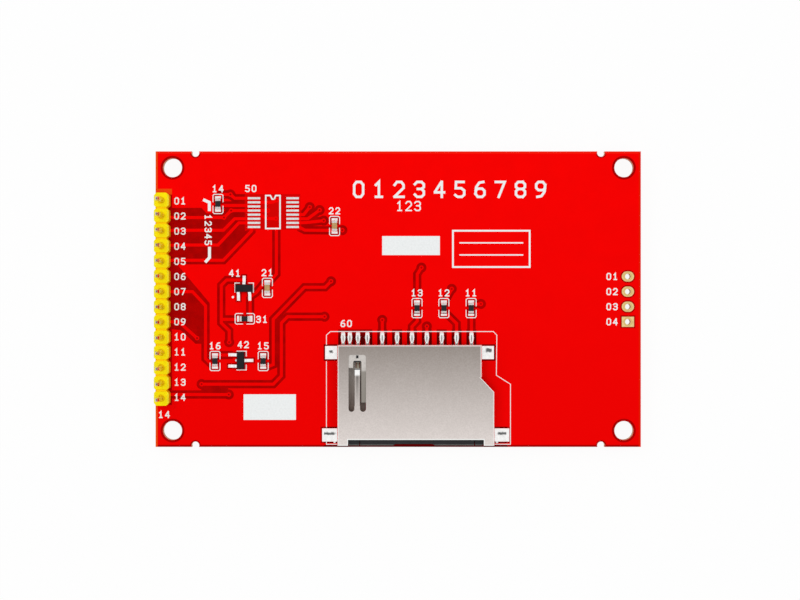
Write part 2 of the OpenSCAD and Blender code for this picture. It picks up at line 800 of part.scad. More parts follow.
// The strip is a row of chamfered blocks joined at grooved necks, with its long top edges bevelled
module header_strip() {
    c = strip_chamfer;
    w = strip_w / 2;
    p = pin_pitch / 2;
    color("#ffd800") difference() {
        intersection() {
            translate([0, 0, top_z])
                linear_extrude(height = strip_h)
                    at_pins()
                        polygon([[-w, -p + c], [-w, p - c], [-w + c, p], [w - c, p],
                                 [w, p - c], [w, -p + c], [w - c, -p], [-w + c, -p]]);
            translate([strip_x, 0, top_z])
                rotate([90, 0, 0])
                    linear_extrude(height = board_w, center = true)
                        polygon([[-w, 0], [w, 0], [w, strip_h - strip_bevel], [w - strip_bevel, strip_h],
                                 [-w + strip_bevel, strip_h], [-w, strip_h - strip_bevel]]);
        }
        at_pins() {
            translate([-pin_t / 2, -pin_t / 2, top_z - cut])
                cube([pin_t, pin_t, strip_h + 2 * cut]);
            translate([0, 0, top_z + strip_h - pin_dimple])
                cylinder(d = pin_dimple_d, h = cut);
        }
        // a shallow groove across each neck
        for (i = [1:header_pins - 1])
            translate([strip_x - strip_w, pin_y(i) - p - neck_groove_w / 2, top_z + strip_h - neck_groove])
                cube([2 * strip_w, neck_groove_w, cut]);
    }
}

// A square pin with tapered ends: two crossed outlines
module header_pin(i) {
    low = board_z - pin_below;
    high = top_z + strip_h + pin_above;
    tip = 0.5;
    r = pin_t / 2;
    flat = r / 2;
    color("#e3c46a")
        translate([strip_x, pin_y(i), 0])
            intersection_for (turn = [0, 90])
                rotate([90, 0, turn])
                    linear_extrude(height = pin_t, center = true)
                        polygon([[-flat, low], [flat, low], [r, low + tip], [r, high - tip],
                                 [flat, high], [-flat, high], [-r, high - tip], [-r, low + tip]]);
}

module header_solder() {
    color("#c9ccd0")
        at_pins()
            difference() {
                translate([0, 0, board_z - pin_solder_h])
                    cylinder(r1 = pin_t * 0.8, r2 = pin_solder_r, h = pin_solder_h);
                translate([-pin_t / 2, -pin_t / 2, board_z - pin_solder_h - cut])
                    cube([pin_t, pin_t, pin_solder_h + 2 * cut]);
            }
}

// Three long pads and a rectangular one, each with its plated hole and a ring on the board's back
module spare_pads() {
    color("#d9c48c") {
        spare_rings(core_top_z, pad_t)
            spare_pad_outlines(0);
        spare_rings(board_z, board_t - copper_t)
            at_spares()
                circle(d = pin_hole_d);
        spare_rings(board_z - pad_t, pad_t)
            at_spares()
                circle(d = pin_hole_d + 2 * back_pad_w);
    }
}

// Outlines raised from z by t, with the spare pads' open holes through them
module spare_rings(z, t) {
    translate([0, 0, z])
        linear_extrude(height = t)
            difference() {
                children();
                at_spares()
                    circle(d = pin_hole_d - 2 * plating_t);
            }
}

module spare_pad_outlines(more) {
    r = spare_pad_w / 2;
    for (i = [0:spare_count - 1])
        translate([spare_x, ((spare_count - 1) / 2 - i) * pin_pitch])
            if (i == spare_count - 1)
                grown([-spare_pad_l, -spare_pad_w] / 2, [spare_pad_l, spare_pad_w] / 2, more);
            else {
                grown([r - spare_pad_l / 2, -r], [spare_pad_l / 2 - r, r], more);
                for (side = [-1, 1])
                    translate([side * (spare_pad_l / 2 - r), 0])
                        circle(r + more);
            }
}

module touch_chip_pads() {
    color("#d8dadd")
        translate([0, 0, core_top_z])
            linear_extrude(height = pad_t)
                touch_pad_outlines(0);
}

module touch_pad_outlines(more) {
    for (x = touch_x + [end_at.x, end_at.x], i = [1:touch_rows])
        grown([x - touch_pad_l / 2, row_y(i) - touch_pad_w / 2],
              [x + touch_pad_l / 2, row_y(i) + touch_pad_w / 2], more);
}

// ---- Card socket ----

module at_socket() {
    translate([socket_x, socket_back_y, top_z])
        children();
}

// The shell's outline drawn in by a distance, with the mouth left at front
function shell_plan(in, front) =
    let (shift = -in * tan(slant_angle / 2))
    [[shell_left + in, -front], [shell_left + in, -in], [shell_step - in, -in],
     [shell_step - in, -step_back + shift],
     [shell_right - in, -step_back - step_slant + shift], [shell_right - in, -front]];

// What a bend takes off a square edge that runs along +y, with the shell to its +x side
module bend_cutter(length) {
    r = bend_r;
    rotate([-90, 0, 0])
        linear_extrude(height = length)
            difference() {
                translate([-r, -r])
                    square([2 * r, 2 * r]);
                translate([r, r])
                    circle(r);
                translate([r, -r])
                    square([2 * r, 4 * r]);
                translate([-2 * r, r])
                    square([4 * r, 2 * r]);
            }
}

// The stamped shell: roof, folded walls, spring tongue and feet, all of one sheet
module socket_shell() {
    color("#b5afaa") at_socket() {
        difference() {
            linear_extrude(height = socket_h)
                polygon(shell_plan(0, socket_l));
            translate([0, 0, -cut])
                linear_extrude(height = roof_z + cut)
                    polygon(shell_plan(sheet_t, socket_l + cut));
            // bends along the left side, the back and both right sides
            translate([shell_left, -socket_l - cut, socket_h])
                bend_cutter(socket_l + 2 * cut);
            translate([shell_left - cut, 0, socket_h])
                rotate([0, 0, -90])
                    bend_cutter(shell_step - shell_left + 2 * cut);
            translate([shell_step, cut, socket_h])
                rotate([0, 0, 180])
                    bend_cutter(step_back + cut);
            translate([shell_right, -step_back - step_slant, socket_h])
                rotate([0, 0, 180])
                    bend_cutter(socket_l);
            // the slant between them has no wall, only the sheet's trimmed edge
            translate([0, 0, -cut]) {
                linear_extrude(height = roof_z + cut)
                    beyond_slant(2 * sheet_t, 2 * sheet_t);
                linear_extrude(height = socket_h + 2 * cut)
                    beyond_slant(slant_in, slant_end_in);
            }
            // the roof stops short of the legs, and the tails pass under the back wall
            block([shell_left + leg_w, -socket_l - cut, -cut],
                  [shell_right - leg_w, -socket_l + mouth_cut, socket_h + cut]);
            block([shell_left + 2 * sheet_t, -bend_r, -cut],
                  [shell_step - 2 * sheet_t, cut, tail_window_z]);
            shell_window();
        }
        spring_tongue();
        for (f = feet)
            shell_foot(f[0], f[1], f[2], f[3]);
    }
}

// The ground outside the slant, with the slant's two ends drawn in
module beyond_slant(step_end, right_end) {
    polygon([[shell_step - step_end, -step_back], [shell_right + cut, -step_back],
             [shell_right + cut, -step_back - step_slant],
             [shell_right - right_end, -step_back - step_slant]]);
}

// The window: a head with rounded far corners, and a slot at each side of the tongue
module shell_window() {
    r = 0.4;
    w = window_w / 2;
    translate([window_x, 0, roof_z - cut])
        linear_extrude(height = sheet_t + 2 * cut) {
            translate([-w, window_head_y])
                square([window_w, window_head - r]);
            translate([-w + r, window_head_y])
                square([window_w - 2 * r, window_head]);
            for (side = [-1, 1]) {
                translate([side * (w - r), -window_back - r])
                    circle(r);
                translate([side * (w - slot_w / 2), -tongue_root + slot_w / 2])
                    circle(slot_w / 2);
                translate([side * (w - slot_w / 2) - slot_w / 2, -tongue_root + slot_w / 2])
                    square([slot_w, window_slot]);
            }
            // the tongue's place is open too: the tongue itself is bent down in it
            translate([-w + slot_w / 2, -tongue_root + slot_w])
                square([window_w - slot_w, window_slot]);
        }
}

// The tongue leaves the roof between the slots, slopes down and ends in a turned-down lip
module spring_tongue() {
    root_y = -tongue_root + slot_w / 2;
    tip_y = window_head_y - fit;
    z = roof_z + sheet_t / 2;
    lip = 0.9;
    translate([window_x, 0, 0])
        bent_strip([[root_y, z], [root_y + slot_w, z], [tip_y - lip, z - tongue_dip / 3],
                    [tip_y, z - tongue_dip]], tongue_w, sheet_t);
}

// A foot: a tab of the wall folded out flat on the board
module shell_foot(side, x, y, length) {
    translate([x, y, 0])
        block([side > 0 ? -sheet_t : -length, -foot_w / 2, 0],
              [side > 0 ? length : sheet_t, foot_w / 2, sheet_t]);
}

// The card space: the card's outline with its cut corner, open at the mouth
module card_space() {
    w = card_w / 2;
    translate([0, 0, floor_t])
        linear_extrude(height = socket_h)
            polygon([[-w, -socket_l - cut], [-w, -card_back], [w - card_corner, -card_back],
                     [w, -card_back - card_corner], [w, -socket_l - cut]]);
}

// The moulded base: a thin floor, two rails beside the card and a block that holds the contacts
module socket_base() {
    front_y = base_sill - socket_l;
    lip_y = front_y - lip_out;
    color("#1b1b1d") at_socket() difference() {
        union() {
            linear_extrude(height = base_top)
                polygon(shell_plan(base_in, -front_y));
            block([shell_left + leg_w + fit, lip_y, 0], [shell_right - leg_w - fit, front_y + cut, floor_t]);
        }
        card_space();
        // the floor's front lip: chamfered, slit near both sides and drawn back between two slants
        rotate([90, 0, 90])
            linear_extrude(height = card_w, center = true)
                polygon([[lip_y - cut, floor_t - front_chamfer - cut], [lip_y - cut, floor_t + cut],
                         [lip_y + front_chamfer + cut, floor_t + cut]]);
        for (x = mouth_slits)
            translate([shell_left + x - mouth_slit_w / 2, lip_y - cut, -cut])
                cube([mouth_slit_w, mouth_slit_l + cut, floor_t + 2 * cut]);
        translate([shell_left, lip_y, -cut])
            linear_extrude(height = floor_t + 2 * cut)
                polygon([[mouth_notch[0], -cut], [mouth_notch[0], 0],
                         [mouth_notch[0] + mouth_notch_slant, mouth_notch_in],
                         [mouth_notch[1] - mouth_notch_slant, mouth_notch_in],
                         [mouth_notch[1], 0], [mouth_notch[1], -cut]]);
        // contacts lie in slots in the floor and in tunnels through the block
        for (x = contact_x) {
            block([x - contact_w / 2 - fit, -contact_reach - 0.5, -cut],
                  [x + contact_w / 2 + fit, -card_back, base_top]);
            block([x - contact_w / 2, -card_back - cut, -cut],
                  [x + contact_w / 2, cut, contact_z + contact_t / 2]);
        }
        // the switch's two contacts drop down the block's back and lie in a pocket on its top
        for (x = [switch_spring_x, switch_contact_x])
            block([x - contact_w / 2, -base_in - contact_t, -cut], [x + contact_w / 2, cut, base_top + cut]);
        block([switch_contact_x - contact_w / 2, -card_back, spring_z],
              [window_x + pocket_reach, cut, base_top + cut]);
        // the spring's leg stays free of the rail beside the card
        block([window_x - window_w / 2 - 2 * fit, window_head_y - spring_leg_l, spring_z],
              [window_x + window_w / 2 + 2 * fit, -card_back, base_top + cut]);
    }
}

// One card contact: tail on the board, step up through the block, then a rising leaf with a bowed tip
module card_contacts() {
    crown_z = 1.05;
    tip_dip = 0.4;
    tip_y = 3 * tip_dip - contact_reach;
    bow_y = tip_y + 2 * tip_dip;
    color("#d6c07a") at_socket()
        for (x = contact_x)
            translate([x, 0, 0])
                bent_strip([[tail_l, tail_z], [-0.4, tail_z], [-0.9, contact_z],
                            [-card_back - 0.2, contact_z], [bow_y, crown_z], [tip_y, crown_z],
                            [-contact_reach, crown_z - tip_dip]], contact_w, contact_t);
}

// A switch contact: tail, riser behind the block and a top run of the given length
module switch_strip(length) {
    z = spring_z + contact_t / 2;
    y = -base_in - contact_t / 2;
    bent_strip([[tail_l, tail_z], [y, tail_z], [y, z], [y - length, z]], contact_w, contact_t);
}

// The switch spring shows in the shell's window: a fork with one long leg that slopes into the card's way
module switch_spring() {
    left = window_x - window_w / 2;
    right = window_x + window_w / 2;
    leg_w = spring_prong + fit;
    leg_z = spring_z + contact_t / 2;
    color("#c9c2ba") at_socket() union() {
        translate([switch_spring_x, 0, 0])
            switch_strip(1.2);
        translate([0, 0, spring_z])
            linear_extrude(height = contact_t)
                difference() {
                    translate([left - fit, window_head_y])
                        square([window_w + 2 * fit, -1.1 - window_head_y]);
                    translate([left + spring_prong, window_head_y - cut])
                        square([window_w - 2 * spring_prong, cut + 1.2]);
                    translate([window_x - 0.2, -window_back - 0.6])
                        square([0.4, 0.5]);
                }
        translate([right + fit - leg_w / 2, 0, 0])
            bent_strip([[window_head_y + leg_w, leg_z], [window_head_y, leg_z],
                        [window_head_y - spring_leg_l, leg_z - spring_leg_dip]], leg_w, contact_t);
    }
}

module switch_contact() {
    color("#c9c2ba") at_socket()
        translate([switch_contact_x, 0, 0])
            switch_strip(1.2);
}

// Solder beside the tails and round the feet
module socket_solder() {
    wet = 0.12;
    from_y = 0.35;
    to_y = tail_l + 0.15;
    end_w = contact_w / 2 + 0.04;
    mid_w = contact_w / 2 + 0.16;
    color("#d3d5d8") at_socket() {
        for (x = concat([switch_contact_x, switch_spring_x], contact_x))
            difference() {
                translate([x, 0, 0])
                    linear_extrude(height = wet)
                        polygon([[-end_w, from_y], [-mid_w, (from_y + to_y) / 2], [-end_w, to_y],
                                 [end_w, to_y], [mid_w, (from_y + to_y) / 2], [end_w, from_y]]);
                block([x - contact_w / 2, -cut, -cut], [x + contact_w / 2, tail_l, wet + cut]);
            }
        for (f = feet)
            foot_solder(f[0], f[1], f[2], f[3]);
    }
}

module foot_solder(side, x, y, length) {
    border = 0.3;
    out = length + border;
    translate([x, y, 0])
        difference() {
            block([side > 0 ? 0 : -out, -foot_w / 2 - border, 0],
                  [side > 0 ? out : 0, foot_w / 2 + border, sheet_t]);
            block([-length, -foot_w / 2, -cut], [length, foot_w / 2, sheet_t + cut]);
        }
}

// ---- Small parts ----

module at_place(p) {
    translate([p[0], p[1], top_z])
        rotate([0, 0, p[2]])
            children();
}

// A chip with its two metal caps
module chip(h) {
    translate([-chip_l / 2 + cap_l, -chip_w / 2, cap_over])
        cube([chip_l - 2 * cap_l, chip_w, h - cap_over]);
    for (side = [-1, 1])
        translate([side * (chip_l - cap_l) / 2 - cap_l / 2, -chip_w / 2 - cap_over, 0])
            cube([cap_l, chip_w + 2 * cap_over, h + cap_over]);
}

// The solder that rises against a chip's two ends
module chip_fillets() {
    w = chip_w + 0.15;
    climb = 0.75 * resistor_h;
    for (turn = [0, 180])
        rotate([90, 0, turn])
            linear_extrude(height = w, center = true)
                polygon([[chip_l / 2, 0], [chip_l / 2 + toe_l, 0], [chip_l / 2 + toe_l, toe_h],
                         [chip_l / 2 + toe_l / 3, climb / 2], [chip_l / 2, climb]]);
}

module resistor(i) {
    color("#202022") at_place(resistors[i - 1]) chip(resistor_h);
}

module capacitor(i) {
    color("#b98f5c") at_place(capacitors[i - 1]) chip(capacitor_h);
}

module link() {
    color("#202022") at_place(link_at) chip(resistor_h);
}

// The solder beyond the ends of three formed leads
module lead_fillets() {
    half_turn = 180;
    for (at = [[0, 0], [lead_pitch, half_turn], [-lead_pitch, half_turn]])
        translate([at[0], 0, 0])
            rotate([90, 0, 90 + at[1]])
                linear_extrude(height = lead_w, center = true)
                    polygon([[lead_end, 0], [lead_end + lead_toe_l, 0], [lead_end + lead_toe_l, toe_h / 2],
                             [lead_end + lead_toe_l / 3, toe_h], [lead_end, lead_t]]);
}

module chip_solder() {
    color("#d3d5d8") {
        for (p = chip_places)
            at_place(p) chip_fillets();
        for (p = moulded_places)
            at_place(p) lead_fillets();
    }
}

// The moulded body of a small three-lead part, chamfered all round its top
module moulded_body() {
    lift = 0.1;
    slope = 0.15;
    shoulder = moulded_h - 0.35;
    intersection() {
        rotate([90, 0, 0])
            linear_extrude(height = moulded_w, center = true)
                polygon([[-moulded_l / 2, lift], [moulded_l / 2, lift], [moulded_l / 2, shoulder],
                         [moulded_l / 2 - slope, moulded_h], [-moulded_l / 2 + slope, moulded_h],
                         [-moulded_l / 2, shoulder]]);
        rotate([90, 0, 90])
            linear_extrude(height = moulded_l, center = true)
                polygon([[-moulded_w / 2, lift], [moulded_w / 2, lift], [moulded_w / 2, shoulder],
                         [moulded_w / 2 - slope, moulded_h], [-moulded_w / 2 + slope, moulded_h],
                         [-moulded_w / 2, shoulder]]);
    }
}

// Three formed leads: one at the far side and two at the near side
module moulded_leads() {
    z = lead_z + lead_t / 2;
    y = moulded_w / 2;
    path = [[y, z], [y + 0.25, z], [y + lead_rise, lead_t / 2], [lead_end, lead_t / 2]];
    bent_strip(path, lead_w, lead_t);
    for (side = [-1, 1])
        translate([side * lead_pitch, 0, 0])
            rotate([0, 0, 180])
                bent_strip(path, lead_w, lead_t);
}

module regulator_body() {
    color("#17181a") at_place(regulator_at) moulded_body();
}

module regulator_leads() {
    color("#d3d5d8") at_place(regulator_at) moulded_leads();
}

module transistor_body() {
    color("#17181a") at_place(transistor_at) moulded_body();
}

module transistor_leads() {
    color("#d3d5d8") at_place(transistor_at) moulded_leads();
}

front_polariser();
filter_glass();
array_glass();
rear_polariser();
shade_tape();
prism_sheet_front();
prism_sheet_back();
diffuser_sheet();
light_guide();
reflector_sheet();
led_strip();
backlight_leds();
backlight_frame();
back_tray();
driver_chip();
display_flex();
flex_solder();
foam_tape();
circuit_board();
copper_layer();
header_strip();
for (i = [1:header_pins])
    header_pin(i);
header_solder();
spare_pads();
touch_chip_pads();
socket_shell();
socket_base();
card_contacts();
switch_spring();
switch_contact();
socket_solder();
regulator_body();
regulator_leads();
transistor_body();
transistor_leads();
for (i = [1:6])
    resistor(i);
for (i = [1:2])
    capacitor(i);
link();
chip_solder();
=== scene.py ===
"""The TFT display module, dressed: a material for every CAD node, the white print on the board, the bright
solder of the socket's tails and discs of painted shade in the vias' mouths, with a floor, two lamps and a
camera."""
import math

import bpy
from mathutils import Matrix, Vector

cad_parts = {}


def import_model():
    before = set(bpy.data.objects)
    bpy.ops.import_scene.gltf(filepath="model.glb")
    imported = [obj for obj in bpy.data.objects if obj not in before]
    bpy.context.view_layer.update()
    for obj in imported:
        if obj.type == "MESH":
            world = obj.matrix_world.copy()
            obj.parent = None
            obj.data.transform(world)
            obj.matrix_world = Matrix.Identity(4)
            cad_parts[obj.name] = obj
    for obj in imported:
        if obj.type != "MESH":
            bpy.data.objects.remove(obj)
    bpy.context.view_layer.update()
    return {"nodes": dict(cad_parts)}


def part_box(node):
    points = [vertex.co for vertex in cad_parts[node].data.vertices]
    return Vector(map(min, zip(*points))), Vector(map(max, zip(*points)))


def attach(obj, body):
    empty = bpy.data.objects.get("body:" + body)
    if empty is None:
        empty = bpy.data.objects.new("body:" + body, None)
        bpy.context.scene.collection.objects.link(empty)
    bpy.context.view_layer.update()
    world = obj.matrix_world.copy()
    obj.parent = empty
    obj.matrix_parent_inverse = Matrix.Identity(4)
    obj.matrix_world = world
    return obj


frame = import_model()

MM = 0.001
NODES = frame["nodes"]

# ---------------------------------------------------------------- places, read from the frame

board_low, board_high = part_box("circuit_board")
strip_low, strip_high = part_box("header_strip")
shell_low, shell_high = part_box("socket_shell")
base_low, base_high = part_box("socket_base")
spare_low, spare_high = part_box("spare_pads")

# the board's upper face, and the middle lines of the header and of the spare row
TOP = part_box("copper_layer")[1].z
PIN_PITCH = 2.54 * MM
pin_x = (strip_low.x + strip_high.x) / 2
spare_x = (spare_low.x + spare_high.x) / 2

# the shell's walls stand off the base by their sheet and their play
WALL_OUT = 0.25 * MM
shell_left, shell_right = base_low.x - WALL_OUT, base_high.x + WALL_OUT

# the front legs, and the sheet's edge between them
LEG_W = 1.65 * MM
MOUTH_CUT = 0.96 * MM
leg_left, leg_right = shell_left + LEG_W, shell_right - LEG_W
mouth_y = shell_low.y + MOUTH_CUT

# the right wall steps in at the back, with a slant between
STEP_IN = 2.1 * MM
step_x = shell_right - STEP_IN

# the window and the tongue in it
WINDOW_IN = 3.35 * MM
TIP_IN = 3.95 * MM
ROOT_IN = 11.2 * MM
window_x = shell_left + WINDOW_IN
tip_y, root_y = shell_high.y - TIP_IN, shell_high.y - ROOT_IN
spring_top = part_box("switch_spring")[1].z

# ---------------------------------------------------------------- colours that several materials share

MASK_SPECULAR = 0.01
RED_MASK = (0.97, 0.0006, 0.0004)
# the mask in painted shade, towards the near edge and beside the socket; the first of these also serves for
# random darker patches and for the board's underside
RED_MASK_SHADE = (0.86, 0.0006, 0.0005)
RED_MASK_SOCKET_SHADE = (0.84, 0.0006, 0.0005)
# where there is no copper under the mask
RED_BARE = (0.44, 0.0006, 0.0004)
RED_BARE_DARK = (0.34, 0.0005, 0.0004)
RED_BARE_PALE = (0.66, 0.0008, 0.0005)
# painted shadow on the bare mask between the socket's tails
RED_BARE_TAIL_SHADOW = (0.10, 0.0004, 0.0004)
# the board's rim, where the copper stops short of the edge: painted light coming through the edge,
# different on each side, and painted shade under the socket and in its base's slits
RIM_W = 0.35 * MM
RIM_LEFT = (0.80, 0.068, 0.004)
RIM_RIGHT = (0.78, 0.010, 0.0008)
RIM_TOP = (0.90, 0.016, 0.006)
RIM_BOTTOM = (0.40, 0.0005, 0.0004)
RIM_SHADE = (0.13, 0.0004, 0.0004)
MOUTH_SHADE = (0.02, 0.001, 0.001)
GLASS_FIBRE = (0.62, 0.33, 0.13)
GLASS_FIBRE_DARK = (0.48, 0.23, 0.08)
# glass fibre on the holes' walls, made paler by a painted highlight
HOLE_WALL_LIT = (0.90, 0.55, 0.36)
SOLDER = (0.90, 0.89, 0.88)
# solder in painted shade, in the hollows of the feet
SOLDER_HOLLOW_SHADE = (0.13, 0.13, 0.13)
TAIL_DULL = (0.30, 0.295, 0.285)

# ---------------------------------------------------------------- materials


class Shader:
    """A material's node tree, with short calls for the nodes that this script needs."""

    def __init__(self, name):
        self.material = bpy.data.materials.new(name)
        self.material.use_nodes = True
        self.tree = self.material.node_tree
        self.surface = self.tree.nodes["Principled BSDF"]
        self.place = self.tree.nodes.new("ShaderNodeTexCoord")

    def node(self, kind, **values):
        made = self.tree.nodes.new(kind)
        for key, value in values.items():
            setattr(made, key, value)
        return made

    def link(self, source, target):
        self.tree.links.new(source, target)

    def put(self, socket, value):
        """Sets a socket to a number or colour, or links it to another socket."""
        if isinstance(value, bpy.types.NodeSocket):
            self.link(value, socket)
        elif hasattr(value, "__len__") and len(value) == 3 and socket.type == "RGBA":
            socket.default_value = (*value, 1)
        else:
            socket.default_value = value

    def set(self, **values):
        """Sets the shader's own sockets, by names with underscores."""
        for key, value in values.items():
            self.put(self.surface.inputs[key.replace("_", " ")], value)

    def axes(self, coordinate="Object"):
        """The x, y and z of a place on the object."""
        made = self.node("ShaderNodeSeparateXYZ")
        self.link(self.place.outputs[coordinate], made.inputs[0])
        return made.outputs

    def facing(self):
        """The x, y and z of the surface's direction, in the object's own frame."""
        return self.axes("Normal")

    def math(self, operation, a, b=0.0):
        made = self.node("ShaderNodeMath", operation=operation)
        self.put(made.inputs[0], a)
        self.put(made.inputs[1], b)
        return made.outputs[0]

    def above(self, value, limit):
        return self.math("GREATER_THAN", value, limit)

    def below(self, value, limit):
        return self.math("LESS_THAN", value, limit)

    def times(self, first, *others):
        """The product, which for masks is where all of them are."""
        for other in others:
            first = self.math("MULTIPLY", first, other)
        return first

    def either(self, a, b):
        """The larger of two, which for masks is where any of them is."""
        return self.math("MAXIMUM", a, b)

    def ramp(self, value, low, high):
        """0 at low and 1 at high, which may be the smaller of the two."""
        made = self.node("ShaderNodeMapRange")
        self.put(made.inputs["Value"], value)
        made.inputs["From Min"].default_value = low
        made.inputs["From Max"].default_value = high
        return made.outputs[0]

    def band(self, value, middle, half, soft):
        """1 where value is within half of middle, falling to 0 over soft."""
        away = self.math("ABSOLUTE", self.math("SUBTRACT", value, middle))
        return self.ramp(away, half + soft, half)

    def mix(self, amount, a, b):
        made = self.node("ShaderNodeMix", data_type="RGBA")
        self.put(made.inputs["Factor"], amount)
        self.put(made.inputs[6], a)
        self.put(made.inputs[7], b)
        return made.outputs[2]

    def noise(self, size, detail=3.0, stretch=(1, 1, 1)):
        """Noise with features about size metres wide, from 0 to 1."""
        mapping = self.node("ShaderNodeMapping")
        mapping.inputs["Scale"].default_value = stretch
        self.link(self.place.outputs["Object"], mapping.inputs["Vector"])
        made = self.node("ShaderNodeTexNoise")
        made.inputs["Scale"].default_value = 1 / size
        made.inputs["Detail"].default_value = detail
        self.link(mapping.outputs[0], made.inputs["Vector"])
        return made.outputs[0]

    def mottle(self, colour, amount, size):
        """A colour that varies a little in brightness."""
        dark = tuple(c * (1 - amount) for c in colour)
        light = tuple(min(1, c * (1 + amount)) for c in colour)
        return self.mix(self.ramp(self.noise(size), 0.3, 0.7), dark, light)

    def bump(self, height, strength, depth):
        made = self.node("ShaderNodeBump")
        made.inputs["Strength"].default_value = strength
        made.inputs["Distance"].default_value = depth
        self.link(height, made.inputs["Height"])
        self.link(made.outputs[0], self.surface.inputs["Normal"])


def from_row(s, x, y, row_x):
    """How far a place is from the nearest pin or hole of a row at row_x: along the row, and across it."""
    along = s.math("SUBTRACT", PIN_PITCH / 2, s.math("PINGPONG", y, PIN_PITCH / 2))
    return along, s.math("SUBTRACT", x, row_x)


def radius(s, along, across):
    return s.math("SQRT", s.math("ADD", s.times(along, along), s.times(across, across)))


def tinned(s):
    """Bright solder, a little uneven."""
    return s.mottle(SOLDER, 0.08, 0.5 * MM)


def masked_copper():
    """Red mask over copper, with painted shade: brightest at the far edge and darker towards the near one,
    darker beside the socket, and darkest in its mouth.
    """
    s = Shader("masked_copper")
    x, y, _ = s.axes()
    # painted shade: the mask darkens towards the board's near edge
    base = s.mix(s.ramp(y, board_low.y, board_high.y), RED_MASK_SHADE, RED_MASK)
    # painted shade of the socket on the mask at its sides
    from_left = s.ramp(x, shell_low.x - 1 * MM, shell_low.x + 1 * MM)
    from_right = s.ramp(x, shell_high.x + 0.2 * MM, shell_high.x - 1.5 * MM)
    from_back = s.ramp(y, shell_high.y + 4 * MM, shell_high.y - 3 * MM)
    base = s.mix(s.times(from_left, from_right, from_back, 0.8), base, RED_MASK_SOCKET_SHADE)
    patchy = s.times(s.ramp(s.noise(3 * MM), 0.35, 0.75), 0.45)
    base = s.mix(patchy, base, RED_MASK_SHADE)
    # the board in the mouth, in painted shade: a dark rim, and darker still in the base's slits
    in_mouth = s.times(s.below(y, mouth_y), s.above(x, leg_left), s.below(x, leg_right))
    in_slits = s.above(y, shell_low.y + 0.3 * MM)
    base = s.mix(in_mouth, base, s.mix(in_slits, RIM_SHADE, MOUTH_SHADE))
    s.set(Base_Color=base, Roughness=0.34, Specular_IOR_Level=MASK_SPECULAR)
    return s.material


def beside_socket(s, x):
    """1 over the socket's length along the board's edge."""
    return s.times(s.above(x, shell_low.x), s.below(x, shell_high.x))


def bare_mask(s, x, y):
    """Dark red where there is no copper: paler in the empty footprint, with painted shadow between the
    tails.
    """
    bare = s.mix(s.ramp(s.noise(1.4 * MM), 0.35, 0.7), RED_BARE, RED_BARE_DARK)
    low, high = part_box("touch_chip_pads")
    in_footprint = s.times(s.above(x, low.x - 0.5 * MM), s.below(x, high.x + 0.4 * MM),
                          s.above(y, low.y - 0.4 * MM))
    bare = s.mix(in_footprint, bare, RED_BARE_PALE)
    tail_shadow = s.times(s.ramp(y, shell_high.y + 2.6 * MM, shell_high.y + 1.4 * MM), beside_socket(s, x))
    return s.mix(tail_shadow, bare, RED_BARE_TAIL_SHADOW)


def board_core():
    """Dark mask where there is no copper, a rim in painted light and shade, layered glass fibre on the
    sides with a painted highlight in the holes, red below.
    """
    s = Shader("board_core")
    x, y, _ = s.axes()
    up = s.facing()[2]
    # painted light through the edge on the far, right and left rims, and painted shade on the near rim
    # under the socket
    top = s.mix(s.above(y, board_high.y - RIM_W), bare_mask(s, x, y), RIM_TOP)
    top = s.mix(s.below(y, board_low.y + RIM_W), top, s.mix(beside_socket(s, x), RIM_BOTTOM, RIM_SHADE))
    top = s.mix(s.above(x, board_high.x - RIM_W), top, RIM_RIGHT)
    # the left rim, and the bare patch past the header's first pin
    past_strip = s.times(s.above(y, strip_high.y - 0.2 * MM), s.below(y, strip_high.y + 1 * MM),
                        s.below(x, strip_high.x + 0.4 * MM))
    top = s.mix(s.either(s.below(x, board_low.x + RIM_W), past_strip), top, RIM_LEFT)
    # the sides: layers of glass fibre outside, and on the walls of the holes one paler colour, glass fibre
    # with a painted highlight
    layers = s.noise(0.16 * MM, stretch=(0.05, 0.05, 1))
    side = s.mix(s.ramp(layers, 0.4, 0.6), GLASS_FIBRE, GLASS_FIBRE_DARK)
    near = 0.05 * MM
    outside = s.either(s.above(s.math("ABSOLUTE", x), board_high.x - near),
                       s.above(s.math("ABSOLUTE", y), board_high.y - near))
    side = s.mix(outside, HOLE_WALL_LIT, side)
    flat = s.above(s.math("ABSOLUTE", up), 0.5)
    base = s.mix(s.below(up, -0.5), s.mix(flat, side, top), RED_MASK_SHADE)
    s.set(Base_Color=base, Roughness=0.4, Specular_IOR_Level=MASK_SPECULAR)
    return s.material


